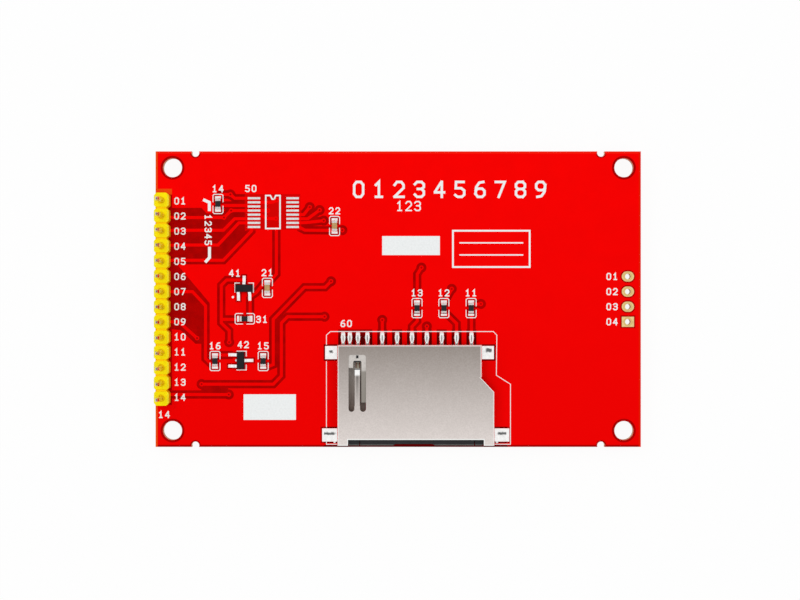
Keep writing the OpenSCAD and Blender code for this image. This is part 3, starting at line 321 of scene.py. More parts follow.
def header_plastic():
    """Satin yellow, with painted shade in orange on its grooves, dimples and side walls, most on the walls
    facing right, and a painted highlight along the slopes of its top edges.
    """
    s = Shader("header_plastic")
    x, y, z = s.axes()
    facing = s.facing()
    up = facing[2]
    wall = s.ramp(up, 0.6, 0.3)
    away = s.ramp(facing[0], 0.3, 0.75)
    # the grooves across the necks, and a ring round each pin in its dimple, both in painted shade
    along, across = from_row(s, x, y, pin_x)
    in_groove = s.ramp(along, 0.8 * MM, 0.9 * MM)
    by_pin = s.ramp(radius(s, along, across), 0.58 * MM, 0.40 * MM)
    sunk_shade = s.times(s.below(z, strip_high.z - 0.15 * MM), s.ramp(up, 0.8, 0.95), s.either(in_groove, by_pin))
    top = s.mix(sunk_shade, s.mottle((1.0, 0.80, 0.0015), 0.02, 0.8 * MM), (1.0, 0.68, 0.0015))
    # painted shade: the walls that face right are orange
    side = s.mix(away, (0.99, 0.72, 0.002), (0.97, 0.44, 0.001))
    base = s.mix(wall, top, side)
    # painted highlight along the slopes of the top edges
    bevel_highlight = s.times(s.ramp(up, 0.95, 0.85), s.ramp(up, 0.6, 0.65))
    base = s.mix(bevel_highlight, base, (1.0, 0.90, 0.03))
    # low on the right-facing walls the painted shade gives way to a lighter yellow
    low_wall_lighter = s.times(wall, s.ramp(z, strip_high.z - 0.9 * MM, strip_high.z - 1.5 * MM), away)
    base = s.mix(low_wall_lighter, base, (1.0, 0.80, 0.002))
    s.set(Base_Color=base, Roughness=0.42, Specular_IOR_Level=0.08)
    s.bump(s.noise(0.12 * MM), 0.12, 0.02 * MM)
    return s.material


def pin_metal():
    """Bright plating, darker in the middle of a pin's tip."""
    s = Shader("pin_metal")
    x, y, _ = s.axes()
    along, across = from_row(s, x, y, pin_x)
    from_middle = s.either(along, s.math("ABSOLUTE", across))
    inner = s.times(s.ramp(from_middle, 0.2 * MM, 0.13 * MM), s.above(s.facing()[2], 0.8))
    base = s.mix(inner, s.mottle((0.80, 0.70, 0.48), 0.12, 0.5 * MM), (0.24, 0.19, 0.16))
    s.set(Base_Color=base, Metallic=1.0, Roughness=0.22)
    return s.material


def plated_pads():
    """Pale gold pads, deeper in colour round each hole, with painted light on the plated walls of the
    holes.
    """
    s = Shader("plated_pads")
    x, y, _ = s.axes()
    from_hole = radius(s, *from_row(s, x, y, spare_x))
    base = s.mottle((0.76, 0.57, 0.25), 0.14, 0.35 * MM)
    base = s.mix(s.band(from_hole, 0.66 * MM, 0.05 * MM, 0.08 * MM), base, (0.66, 0.46, 0.17))
    # the holes' plated walls, painted bright as if lit
    wall = s.below(s.math("ABSOLUTE", s.facing()[2]), 0.5)
    s.set(Base_Color=s.mix(wall, base, (1.0, 0.92, 0.74)), Metallic=1.0, Roughness=0.32)
    s.bump(s.noise(0.4 * MM), 0.2, 0.05 * MM)
    return s.material


def foot_hollow_shade(s, x, y):
    """Painted shade in hollows of the solder: a dark hook in each back foot, and a dark streak in each
    front foot.
    """
    back_y, front_y = shell_high.y - 1.2 * MM, shell_high.y - 14.95 * MM
    hollows = (  # each with its middle's x and y, half its length and half its width
        (shell_low.x + 1.2 * MM, back_y, 0.2 * MM, 0.16 * MM),
        (step_x + 1.25 * MM, back_y + 0.25 * MM, 0.35 * MM, 0.2 * MM),
        (shell_low.x + 0.9 * MM, front_y, 0.8 * MM, 0.1 * MM),
        (shell_high.x - 0.95 * MM, front_y, 0.6 * MM, 0.12 * MM))
    wobble = s.times(s.math("SUBTRACT", s.noise(0.4 * MM), 0.5), 0.5 * MM)
    x, y = s.math("ADD", x, wobble), s.math("ADD", y, wobble)
    dark = 0.0
    for middle_x, middle_y, half_l, half_w in hollows:
        along = s.band(x, middle_x, half_l, 0.25 * MM)
        across = s.band(y, middle_y, half_w, 0.2 * MM)
        dark = s.either(dark, s.times(along, across))
    return dark


def slant_trim(s, x, y):
    """1 along the sheet's trimmed edge on the step's slant."""
    start_x, start_y = step_x - 0.3 * MM, shell_high.y - 5.4 * MM
    run_x, run_y = 2.34 * MM, 2.5 * MM
    length = math.hypot(run_x, run_y)
    outward = s.math("ADD", s.times(s.math("SUBTRACT", x, start_x), run_y / length),
                     s.times(s.math("SUBTRACT", y, start_y), run_x / length))
    return s.times(s.above(outward, -0.10 * MM), s.below(y, start_y))


def tongue_colour(s, base, x, y):
    """The tongue in the window: darker along its middle, with a painted highlight on its lip and painted
    shade at its end.
    """
    half_w, edge = 0.44 * MM, 0.01 * MM
    tongue = s.times(s.band(x, window_x, half_w, edge),
                    s.band(y, (tip_y + root_y) / 2, (tip_y - root_y) / 2, edge))
    to_tip = s.ramp(y, root_y + 1.5 * MM, tip_y - 1.2 * MM)
    core = s.times(tongue, to_tip, s.band(x, window_x, 0.12 * MM, 0.18 * MM), 0.75)
    base = s.mix(core, base, (0.13, 0.12, 0.11))
    # painted highlight where the lip bends
    lip = s.times(tongue, s.ramp(y, tip_y - 1.35 * MM, tip_y - 0.95 * MM))
    base = s.mix(lip, base, (0.95, 0.94, 0.93))
    # painted shade at the tongue's end, where it bends down
    end = s.times(tongue, s.above(y, tip_y - 0.22 * MM))
    return s.mix(end, base, (0.012, 0.011, 0.010))


def sheet_edge_highlight(s, x, y, up):
    """Where the painted highlight lies: 1 on the sheet's bends, on its trimmed edge between the front legs,
    and on the step's slant.
    """
    trim_w = 0.17 * MM
    bend = s.times(s.ramp(up, 0.97, 0.8), s.ramp(up, 0.15, 0.4))
    on_top = s.above(up, 0.9)
    by_mouth = s.below(y, mouth_y + trim_w)
    behind_toes = s.above(y, shell_low.y + 0.15 * MM)
    on_legs = s.either(s.below(x, leg_left), s.above(x, leg_right))
    between_legs = s.math("SUBTRACT", 1.0, s.times(by_mouth, behind_toes, on_legs))
    trim = s.either(s.times(by_mouth, on_top, between_legs), s.times(slant_trim(s, x, y), on_top))
    return s.either(bend, trim)


def shell_steel():
    """Sheet steel with a fine grain, with a painted reflection that pales it towards the socket's mouth,
    and a painted highlight along its bent and trimmed edges.
    """
    s = Shader("shell_steel")
    x, y, z = s.axes()
    # painted reflection: darker at the back, paler towards the mouth
    along = s.ramp(y, shell_high.y, shell_low.y)
    base = s.mix(along, (0.33, 0.29, 0.265), (0.79, 0.725, 0.695))
    shade = s.mix(along, (0.29, 0.25, 0.225), (0.70, 0.64, 0.61))
    grain = s.noise(0.22 * MM, detail=4)
    base = s.mix(s.ramp(grain, 0.35, 0.65), base, shade)
    base = s.mix(s.times(s.ramp(s.noise(2.2 * MM), 0.4, 0.7), 0.35), base, shade)
    base = tongue_colour(s, base, x, y)
    # painted highlight along the bends and trimmed edges
    base = s.mix(sheet_edge_highlight(s, x, y, s.facing()[2]), base, (0.88, 0.88, 0.86))
    # the feet lie under their solder, with painted shade in its hollows
    foot = s.below(z, TOP + 0.22 * MM)
    base = s.mix(foot, base, s.mix(foot_hollow_shade(s, x, y), tinned(s), SOLDER_HOLLOW_SHADE))
    s.set(Base_Color=base, Metallic=1.0, Roughness=s.math("SUBTRACT", 0.38, s.times(foot, 0.12)))
    s.bump(grain, 0.05, 0.008 * MM)
    return s.material


def socket_plastic():
    """Black moulding, with a painted highlight on the slanted front of its lip, and painted light on its
    floor deep inside, which looks brown in the light from the window.
    """
    s = Shader("socket_plastic")
    _, y, z = s.axes()
    up = s.facing()[2]
    # painted highlight on the slanted front of the lip, all but its lowest part, which stays black
    chamfer_highlight = s.times(s.ramp(up, 0.55, 0.65), s.ramp(up, 0.85, 0.78), s.below(y, shell_low.y + 1 * MM),
                     s.ramp(y, base_low.y + 0.06 * MM, base_low.y + 0.10 * MM))
    black = s.mix(chamfer_highlight, s.mottle((0.018, 0.018, 0.020), 0.2, 0.6 * MM), (0.22, 0.21, 0.19))
    inside = s.times(s.above(y, shell_low.y + 4 * MM), s.below(z, TOP + 2.3 * MM), s.above(up, 0.5))
    near_back = s.ramp(y, shell_low.y + 5 * MM, shell_high.y - 4 * MM)
    lit = s.mix(near_back, (0.23, 0.155, 0.13), (0.52, 0.46, 0.41))
    s.set(Base_Color=s.mix(inside, black, lit), Roughness=0.5, Specular_IOR_Level=0.3)
    s.bump(s.noise(0.1 * MM), 0.2, 0.02 * MM)
    return s.material


def spring_strip():
    """Bright at its head, darker down its sloping leg and along the inner edges of its fork."""
    s = Shader("spring_strip")
    x, y, z = s.axes()
    down = s.ramp(z, spring_top - 0.03 * MM, spring_top - 0.08 * MM)
    base = s.mix(down, s.mottle((0.60, 0.565, 0.535), 0.1, 0.5 * MM), (0.30, 0.275, 0.245))
    inner = s.times(s.band(x, window_x, 0.70 * MM, 0.03 * MM), s.below(y, tip_y + 1.15 * MM))
    s.set(Base_Color=s.mix(inner, base, (0.19, 0.165, 0.145)), Metallic=1.0, Roughness=0.34)
    return s.material


def contact_strip():
    """Olive inside the socket, where little light comes, and dull grey tails with bright necks."""
    s = Shader("contact_strip")
    y = s.axes()[1]
    neck = s.ramp(y, shell_high.y + 0.45 * MM, shell_high.y + 0.3 * MM)
    inside = s.mottle((0.31, 0.27, 0.21), 0.12, 0.5 * MM)
    base = s.mix(s.above(y, shell_high.y - 0.1 * MM), inside, s.mix(neck, TAIL_DULL, SOLDER))
    s.set(Base_Color=base, Metallic=1.0, Roughness=0.3)
    return s.material


def metal(name, colour, roughness, variation=0.12, size=0.5 * MM, rough_bump=0.0):
    s = Shader(name)
    s.set(Base_Color=s.mottle(colour, variation, size), Metallic=1.0, Roughness=roughness)
    if rough_bump:
        s.bump(s.noise(size), rough_bump, 0.05 * MM)
    return s.material


def solder(name, size=0.5 * MM):
    """Bright, uneven solder."""
    s = Shader(name)
    s.set(Base_Color=tinned(s), Metallic=1.0, Roughness=0.26)
    s.bump(s.noise(size), 0.35, 0.05 * MM)
    return s.material


def plastic(name, colour, roughness, specular=0.3, variation=0.1):
    s = Shader(name)
    s.set(Base_Color=s.mottle(colour, variation, 0.6 * MM), Roughness=roughness,
          Specular_IOR_Level=specular)
    s.bump(s.noise(0.1 * MM), 0.2, 0.02 * MM)
    return s.material


def chip_body(name, colour, axis):
    """A chip part's body with tinned caps on its two ends, which lie along that axis."""
    s = Shader(name)
    end = s.axes("Generated")[axis]
    cap = s.above(s.math("ABSOLUTE", s.math("SUBTRACT", end, 0.5)), 0.31)
    s.set(Base_Color=s.mix(cap, s.mottle(colour, 0.15, 0.3 * MM), (0.74, 0.72, 0.71)),
          Metallic=s.times(cap, 0.9), Roughness=s.ramp(cap, -1.4, 1.6), Specular_IOR_Level=0.12)
    return s.material


def clear(name, colour, transmission, roughness=0.02):
    s = Shader(name)
    s.set(Base_Color=colour, Roughness=roughness, Transmission_Weight=transmission, IOR=1.5)
    return s.material


def display_surface():
    """The switched-off display: near black with a faint grid of picture cells."""
    s = Shader("display_surface")
    cell, line_w = 0.18 * MM, 0.03 * MM
    lines = s.below(s.math("PINGPONG", s.axes()[0], cell), line_w)
    s.set(Base_Color=s.mix(lines, (0.010, 0.012, 0.015), (0.014, 0.017, 0.020)), Roughness=0.12,
          Specular_IOR_Level=0.4)
    return s.material


def flex_film():
    """Amber film over copper lines that run along it."""
    s = Shader("flex_film")
    half_pitch, line_w = 0.4 * MM, 0.22 * MM
    lines = s.below(s.math("PINGPONG", s.math("ADD", s.axes()[1], half_pitch), half_pitch), line_w)
    s.set(Base_Color=s.mix(lines, (0.42, 0.15, 0.015), (0.62, 0.27, 0.04)), Roughness=0.25,
          Specular_IOR_Level=0.4)
    return s.material


BLACK_MOULDING = (0.012, 0.013, 0.015)
GLAZE = (0.016, 0.017, 0.019)
SHEET_WHITE = (0.88, 0.88, 0.88)
TIN_BRIGHT = (0.92, 0.91, 0.90)
FILM_CLEAR = (0.9, 0.92, 0.94)

MATERIALS = {
    "circuit_board": board_core(),
    "copper_layer": masked_copper(),
    "header_strip": header_plastic(),
    "header_pin": pin_metal(),
    "header_solder": metal("header_solder", (0.80, 0.80, 0.80), 0.25, rough_bump=0.3),
    "spare_pads": plated_pads(),
    "touch_chip_pads": metal("tinned_pads", (0.72, 0.715, 0.71), 0.34, size=0.3 * MM),
    "socket_shell": shell_steel(),
    "socket_base": socket_plastic(),
    "card_contacts": contact_strip(),
    "switch_spring": spring_strip(),
    "switch_contact": metal("switch_steel", (0.50, 0.47, 0.44), 0.34),
    "socket_solder": solder("socket_solder"),
    "regulator_body": plastic("regulator_plastic", BLACK_MOULDING, 0.42, specular=0.1),
    "transistor_body": plastic("transistor_plastic", BLACK_MOULDING, 0.42, specular=0.1),
    "regulator_leads": metal("regulator_leads", TIN_BRIGHT, 0.28),
    "transistor_leads": metal("transistor_leads", TIN_BRIGHT, 0.28),
    "resistor": chip_body("resistor_glaze", GLAZE, 1),
    "capacitor": chip_body("capacitor_ceramic", (0.50, 0.31, 0.13), 1),
    "link": chip_body("link_glaze", GLAZE, 0),
    "chip_solder": metal("chip_solder", (0.84, 0.81, 0.80), 0.25, rough_bump=0.5, size=0.35 * MM),
    "front_polariser": display_surface(),
    "rear_polariser": plastic("rear_film", (0.02, 0.022, 0.026), 0.2),
    "filter_glass": clear("filter_glass", (0.80, 0.87, 0.86), 0.9),
    "array_glass": clear("array_glass", (0.76, 0.85, 0.84), 0.9),
    "shade_tape": plastic("shade_tape", (0.010, 0.010, 0.011), 0.55),
    "prism_sheet_front": clear("prism_sheet_front", FILM_CLEAR, 0.6, 0.25),
    "prism_sheet_back": clear("prism_sheet_back", FILM_CLEAR, 0.6, 0.25),
    "diffuser_sheet": plastic("diffuser_sheet", (0.86, 0.87, 0.86), 0.5, variation=0.02),
    "light_guide": clear("light_guide", (0.88, 0.93, 0.94), 0.95),
    "reflector_sheet": plastic("reflector_sheet", SHEET_WHITE, 0.35, variation=0.02),
    "led_strip": plastic("led_strip", (0.45, 0.18, 0.02), 0.3),
    "backlight_leds": plastic("backlight_leds", (0.85, 0.72, 0.22), 0.3, variation=0.05),
    "backlight_frame": plastic("frame_plastic", (0.80, 0.80, 0.78), 0.4, variation=0.03),
    "back_tray": metal("tray_steel", (0.56, 0.56, 0.57), 0.34, variation=0.06, size=1.5 * MM),
    "driver_chip": plastic("driver_chip", (0.05, 0.055, 0.07), 0.15, specular=0.5),
    "display_flex": flex_film(),
    "flex_solder": metal("flex_solder", (0.82, 0.82, 0.82), 0.28),
    "foam_tape": plastic("foam_tape", (0.02, 0.02, 0.02), 0.8, specular=0.1, variation=0.3),
}


def material_for(node):
    """A node's own material, or that of its family where the node has a number."""
    return MATERIALS.get(node) or MATERIALS[node.rsplit("_", 1)[0]]


for name, obj in NODES.items():
    obj.data.materials.clear()
    obj.data.materials.append(material_for(name))

# ---------------------------------------------------------------- pieces added to the CAD nodes


def add_piece(name, verts, faces, material, smooth=False):
    """A mesh that rides on the board, with the material given."""
    mesh = bpy.data.meshes.new(name)
    mesh.from_pydata(verts, [], faces)
    mesh.update()
    for polygon in mesh.polygons:
        polygon.use_smooth = smooth
    mesh.materials.append(material)
    obj = bpy.data.objects.new(name, mesh)
    bpy.context.scene.collection.objects.link(obj)
    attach(obj, "root")


# The ink stands out of the mask by INK, a step more for each stroke, and starts a little below its face
INK = 0.012 * MM
INK_STEP = 0.0004 * MM
INK_SUNK = 0.002 * MM

# Widths of the printed lines and the height of the common digits, in mm like all places of the print
LINE = 0.16
FRAME_LINE = 0.14
SOCKET_LINE = 0.12
DIGIT_LINE = 0.2
DIGIT_HEIGHT = 1.0

# How many pins and spare holes are numbered
PIN_COUNT = 14
SPARE_COUNT = 4

# Digits on a box 0.6 wide and 1 high, as strokes of (x, y) places
DIGITS = {
    "0": [[(0, .2), (0, .8), (.15, 1), (.45, 1), (.6, .8)],
          [(.6, .8), (.6, .2), (.45, 0), (.15, 0), (0, .2)]],
    "1": [[(.1, .8), (.3, 1), (.3, 0)],
          [(.1, 0), (.5, 0)]],
    "2": [[(0, .8), (.15, 1), (.45, 1), (.6, .8), (.6, .6), (0, .02)],
          [(0, 0), (.6, 0)]],
    "3": [[(0, .85), (.15, 1), (.45, 1), (.6, .85), (.6, .65), (.45, .53), (.2, .53)],
          [(.45, .53), (.6, .38), (.6, .15), (.45, 0), (.15, 0), (0, .15)]],
    "4": [[(.45, 0), (.45, 1)],
          [(.42, 1), (0, .34)],
          [(0, .3), (.6, .3)]],
    "5": [[(.55, 1), (.05, 1), (.03, .58), (.4, .58), (.6, .42), (.6, .15), (.45, 0), (.15, 0), (0, .12)]],
    "6": [[(.52, 1), (.25, .95), (.04, .65), (0, .2)],
          [(0, .2), (.15, 0), (.45, 0), (.6, .15), (.6, .4), (.45, .55), (.15, .55), (.02, .42)]],
    "7": [[(0, 1), (.6, 1), (.2, 0)]],
    "8": [[(.15, .53), (0, .65), (0, .85), (.15, 1), (.45, 1)],
          [(.45, 1), (.6, .85), (.6, .65), (.45, .53), (.15, .53)],
          [(.15, .53), (0, .38), (0, .15), (.15, 0), (.45, 0)],
          [(.45, 0), (.6, .15), (.6, .38), (.45, .53)]],
    "9": [[(.08, 0), (.35, .05), (.56, .35), (.6, .8)],
          [(.6, .8), (.45, 1), (.15, 1), (0, .85), (0, .6), (.15, .45), (.45, .45), (.58, .58)]],
}


class Print:
    """Flat ink: each stroke is a thin closed ribbon, and later strokes lie a hair above earlier ones."""

    def __init__(self):
        self.verts, self.faces = [], []
        self.level = 0

    def ribbon(self, left, right):
        """A thin closed block between two rails of (x, y) places with as many points each."""
        low, high = TOP + INK_SUNK, TOP + INK + self.level * INK_STEP
        self.level += 1
        start = len(self.verts)
        for z in (low, high):
            self.verts += [(p.x * MM, p.y * MM, z) for p in left + right]
        count = len(left)
        ring = list(range(count)) + list(range(2 * count - 1, count - 1, -1))
        lower, upper = start, start + 2 * count
        for i in range(count - 1):
            a, b, c, d = i, i + 1, count + i + 1, count + i
            self.faces.append((upper + a, upper + d, upper + c, upper + b))
            self.faces.append((lower + a, lower + b, lower + c, lower + d))
        for a, b in zip(ring, ring[1:] + ring[:1]):
            self.faces.append((lower + a, upper + a, upper + b, lower + b))

    def stroke(self, points, width, extend=True):
        """A line through (x, y) places, with mitred corners."""
        points = [Vector(p) for p in points]
        if extend:
            points[0] += (points[0] - points[1]).normalized() * width / 2
            points[-1] += (points[-1] - points[-2]).normalized() * width / 2
        left, right = [], []
        for i, p in enumerate(points):
            before = (p - points[i - 1]).normalized() if i else (points[1] - p).normalized()
            after = (points[i + 1] - p).normalized() if i < len(points) - 1 else before
            middle = (before + after).normalized()
            side = Vector((-middle.y, middle.x)) * width / (2 * max(0.35, middle.dot(before)))
            left.append(p + side)
            right.append(p - side)
        self.ribbon(left, right)

    def block(self, low, high):
        """A filled rectangle."""
        (x0, y0), (x1, y1) = low, high
        self.stroke([(x0, (y0 + y1) / 2), (x1, (y0 + y1) / 2)], y1 - y0, extend=False)

    def dot(self, centre, radius=0.2, halves=10):
        """A filled circle: a ribbon between its upper and lower halves, whose ends are kept just apart."""
        cx, cy = centre
        inset = radius * 0.01
        upper, lower = [], []
        for i in range(halves + 1):
            turn = math.pi * i / halves
            x, rise = cx - radius * math.cos(turn), radius * math.sin(turn)
            rise += inset if i in (0, halves) else 0
            upper.append(Vector((x, cy + rise)))
            lower.append(Vector((x, cy - rise)))
        self.ribbon(upper, lower)

    def number(self, text, at, height=DIGIT_HEIGHT, width=DIGIT_LINE, spacing=1.1, turn=0.0):
        """Plain digits on a baseline that starts at (x, y)."""
        along = Vector((math.cos(turn), math.sin(turn)))
        up = Vector((-along.y, along.x))
        for place, digit in enumerate(text):
            for path in DIGITS[digit]:
                places = [along * (place * spacing + u) + up * v for u, v in path]
                self.stroke([Vector(at) + p * height for p in places], width)


def box_mm(node):
    """A node's low and high corner in mm."""
    low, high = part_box(node)
    return low / MM, high / MM


def half_frames(ink, place, half_l, half_w):
    """Two facing frames with clipped corners and a gap between, by place(across, along)."""
    clip, gap = 0.2, 0.37
    for end in (-1, 1):
        corners = [(-half_w, gap), (-half_w, half_l - clip), (-half_w + clip, half_l),
                   (half_w - clip, half_l), (half_w, half_l - clip), (half_w, gap)]
        ink.stroke([place(across, end * along) for across, along in corners], FRAME_LINE)


def chip_print(ink, node, number):
    """The number and the two halves of the frame round a chip part that lies along y."""
    low, high = box_mm(node)
    x, y = (low.x + high.x) / 2, (low.y + high.y) / 2
    half_frames(ink, lambda across, along: (x + across, y + along), 1.62, 0.84)
    ink.number(number, (x - 0.87, y + 2.05))


def link_print(ink):
    """The same for the link, which lies along x."""
    low, high = box_mm("link")
    x, y = (low.x + high.x) / 2, (low.y + high.y) / 2
    half_frames(ink, lambda across, along: (x + along, y + across), 1.62, 0.88)
    ink.number("31", (x + 2.0, y - 0.6))


def regulator_print(ink):
    """Corner brackets at its sides, open towards its leads, with a dot at its first lead."""
    low, high = box_mm("regulator_body")
    left, right, bottom, top = low.x - 0.1, high.x + 0.1, low.y, high.y + 0.22
    arm = 0.75
    ink.stroke([(left, bottom), (left, top), (left + arm, top)], LINE)
    ink.stroke([(right, bottom), (right, top), (right - arm, top)], LINE)
    ink.dot((left - 0.35, bottom - 0.85))
    ink.number("41", (left - 0.9, top + 1.15))


def transistor_print(ink):
    """Brackets on its single lead's side, with a dot beside its two leads."""
    low, high = box_mm("transistor_body")
    right, bottom, top = high.x + 0.25, low.y - 0.15, high.y + 0.1
    arm = 0.8
    ink.stroke([(low.x, top), (right, top), (right, top - arm)], LINE)
    ink.stroke([(low.x, bottom), (right, bottom), (right, bottom + arm)], LINE)
    ink.dot((low.x - 0.1, (low.y + high.y) / 2))
    ink.number("42", (low.x + 0.2, top + 0.6))


def footprint_print(ink):
    """A frame between the empty footprint's two rows of pads, notched at its top."""
    low, high = box_mm("touch_chip_pads")
    left, right, bottom, top = low.x + 3.03, high.x - 3.16, low.y - 0.085, high.y + 0.275
    middle, notch_y = (left + right) / 2, top - 0.6
    ink.stroke([(middle + 0.22, notch_y), (middle + 0.47, top), (right, top), (right, bottom),
                (left, bottom), (left, top), (middle - 0.43, top), (middle - 0.13, notch_y),
                (middle + 0.22, notch_y)], 0.25, extend=False)
    ink.number("50", (low.x - 0.34, high.y + 0.955))


def socket_print(ink):
    """A thin line round the socket, open at its left feet and its mouth, with a dot in each corner."""
    low, high = box_mm("socket_shell")
    left, right = low.x + 0.405, high.x + 0.495
    front, back = board_low.y / MM + 0.45, high.y + 2.18
    step = right - 2.37
    back_foot, front_foot = (high.y + 0.03, high.y - 2.87), (high.y - 13.87, high.y - 16.17)
    ink.stroke([(left, back_foot[0]), (left, back - 0.6), (left + 0.67, back), (step - 0.5, back),
                (step + 0.08, back - 0.6), (step, high.y - 5.17), (right, high.y - 6.67), (right, front),
                (step - 0.5, front)], SOCKET_LINE)
    ink.stroke([(left, back_foot[1]), (left, front_foot[0])], SOCKET_LINE)
    ink.stroke([(left, front_foot[1]), (left, front), (left + 1.67, front)], SOCKET_LINE)
    ink.dot((left + 1.37, front + 0.4))
    ink.dot((step + 0.1, front + 0.35))
    ink.number("60", (left + 2.47, back + 0.85))


def row_print(ink):
    """Numbers beside the header and the spare row, and the bracket round the header's first five pins."""
    pitch = PIN_PITCH / MM
    left, edge = strip_low.x / MM, strip_high.x / MM
    first_pin = (strip_low.y + strip_high.y) / 2 / MM + (PIN_COUNT - 1) / 2 * pitch
    for i in range(PIN_COUNT):
        ink.number(f"{i + 1:02d}", (edge + 0.75, first_pin - i * pitch - DIGIT_HEIGHT / 2))
    for i in range(SPARE_COUNT):
        y = (i - (SPARE_COUNT - 1) / 2) * pitch
        ink.number(f"{SPARE_COUNT - i:02d}", (spare_low.x / MM - 2.495, y - DIGIT_HEIGHT / 2))
    x, y, line = edge + 6.55, first_pin, 0.5
    ink.stroke([(x - 1.05, y + 0.22), (x, y - 0.24), (x, y - 1.71)], line, extend=False)
    ink.stroke([(x + 0.02, y - 7.71), (x + 0.02, y - 9.51), (x - 0.7, y - 10.31)], line, extend=False)
    ink.number("12345", (x - 0.7, y - 2.41), spacing=1.08, turn=-math.pi / 2)
    ink.number("14", (left + 0.6, strip_low.y / MM - 2.12))


def title_print(ink):
    """A row of digits with a short one below it, two blank blocks and a lined frame."""
    ink.number("0123456789", (-7.4, 17.2), 2.5, 0.42, spacing=1.36)
    ink.number("123", (-0.2, 14.9), 1.5, 0.22, spacing=1.0)
    ink.block((-2.7, 7.4), (7.0, 10.6))
    left, right, bottom, top = 9.2, 22.1, 5.4, 11.5
    for y in (bottom, top):
        ink.stroke([(left, y), (right, y)], 0.3)
    for x in (left, right):
        ink.stroke([(x, bottom), (x, top)], 0.3)
    inset, row = 1.2, 2.03
    for y in (bottom + row, bottom + 2 * row):
        ink.stroke([(left + inset, y), (right - inset, y)], 0.22)
    ink.block((-26.0, -20.3), (-17.2, -16.0))


def white_print():
    ink = Print()
    for i in range(1, 7):
        chip_print(ink, f"resistor_{i}", f"1{i}")
    for i in range(1, 3):
        chip_print(ink, f"capacitor_{i}", f"2{i}")
    link_print(ink)
    regulator_print(ink)
    transistor_print(ink)
    footprint_print(ink)
    socket_print(ink)
    row_print(ink)
    title_print(ink)
    s = Shader("white_print")
    s.set(Base_Color=s.mottle((0.86, 0.88, 0.88), 0.04, 0.3 * MM), Roughness=0.5, Specular_IOR_Level=0.1)
    add_piece("white_print", ink.verts, ink.faces, s.material)


white_print()


def tail_places():
    """The x of each tail of the socket's contacts, from their widths behind the shell."""
    behind, apart = 1 * MM, 0.56 * MM
    xs = []
    for name in ("card_contacts", "switch_spring", "switch_contact"):
        obj = NODES[name]
        places = [obj.matrix_world @ v.co for v in obj.data.vertices]
        xs += [p.x for p in places if p.y > shell_high.y + behind]
    xs.sort()
    groups = [[xs[0]]]
    for x in xs[1:]:
        if x - groups[-1][-1] < apart:
            groups[-1].append(x)
        else:
            groups.append([x])
    return [(g[0] + g[-1]) / 2 for g in groups]


def spindle(half_l, rings, steps=12):
    """A closed loop of solder along y. Each ring gives its half width in the middle, at the back and at the
    front, how far it stops short of the ends, and its height."""
    verts, faces = [], []
    for middle_w, back_w, front_w, short, z in rings:
        side = []
        for i in range(steps + 1):
            t = -1 + 2 * i / steps
            end_w = back_w if t > 0 else front_w
            w = end_w + (middle_w - end_w) * math.cos(math.pi * t / 2) ** 1.4
            side.append((w, t * (half_l - short), z))
        verts += side + [(-w, y, z) for w, y, z in reversed(side)]
    count = 2 * (steps + 1)
    for r in range(len(rings)):
        here, above = r * count, (r + 1) % len(rings) * count
        for i in range(count):
            j = (i + 1) % count
            faces.append((here + i, here + j, above + j, above + i))
    return verts, faces


def tail_solder():
    """Solder swollen at both sides of each tail, which shows as a dull slit between."""
    end_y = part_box("card_contacts")[1].y
    middle_y, half_l = (shell_high.y + end_y) / 2, (end_y - shell_high.y) / 2
    outside, inside = 0.001 * MM, 0.002 * MM
    ring_verts, ring_faces = spindle(half_l, [
        (0.39 * MM, 0.37 * MM, 0.23 * MM, 0, outside),
        (0.37 * MM, 0.355 * MM, 0.22 * MM, 0.01 * MM, 0.13 * MM),
        (0.26 * MM, 0.27 * MM, 0.13 * MM, 0.06 * MM, 0.19 * MM),
        (0.10 * MM, 0.05 * MM, 0.02 * MM, 0.34 * MM, 0.17 * MM),
        (0.09 * MM, 0.04 * MM, 0.01 * MM, 0.36 * MM, inside)])
    verts, faces = [], []
    for x in tail_places():
        start = len(verts)
        verts += [(x + a, middle_y + b, TOP + c) for a, b, c in ring_verts]
        faces += [tuple(start + i for i in face) for face in ring_faces]
    add_piece("tail_solder", verts, faces, solder("tail_solder_metal", 0.4 * MM), smooth=True)


tail_solder()


def via_places():
    """The middles of the small holes in the copper, found from the short edges round their tops."""
    level, short, reach = 0.002 * MM, 0.07 * MM, 0.36 * MM
    least, most, edges = 0.25 * MM, 0.36 * MM, 10
    obj = NODES["copper_layer"]
    cell = 0.6 * MM
    near = {}
    for edge in obj.data.edges:
        a, b = (obj.matrix_world @ obj.data.vertices[i].co for i in edge.vertices)
        if abs(a.z - TOP) < level and abs(b.z - TOP) < level and (a - b).length < short:
            middle = (a + b) / 2
            near.setdefault((round(middle.x / cell), round(middle.y / cell)), []).append(middle)
    groups = []
    for points in near.values():
        for p in points:
            for group in groups:
                if (group[0] - p).length < reach:
                    group.append(p)
                    break
            else:
                groups.append([p])
    places = []
    for group in groups:
        xs, ys = [p.x for p in group], [p.y for p in group]
        if least < max(xs) - min(xs) < most and len(group) > edges:
            places.append(((max(xs) + min(xs)) / 2, (max(ys) + min(ys)) / 2))
    return places


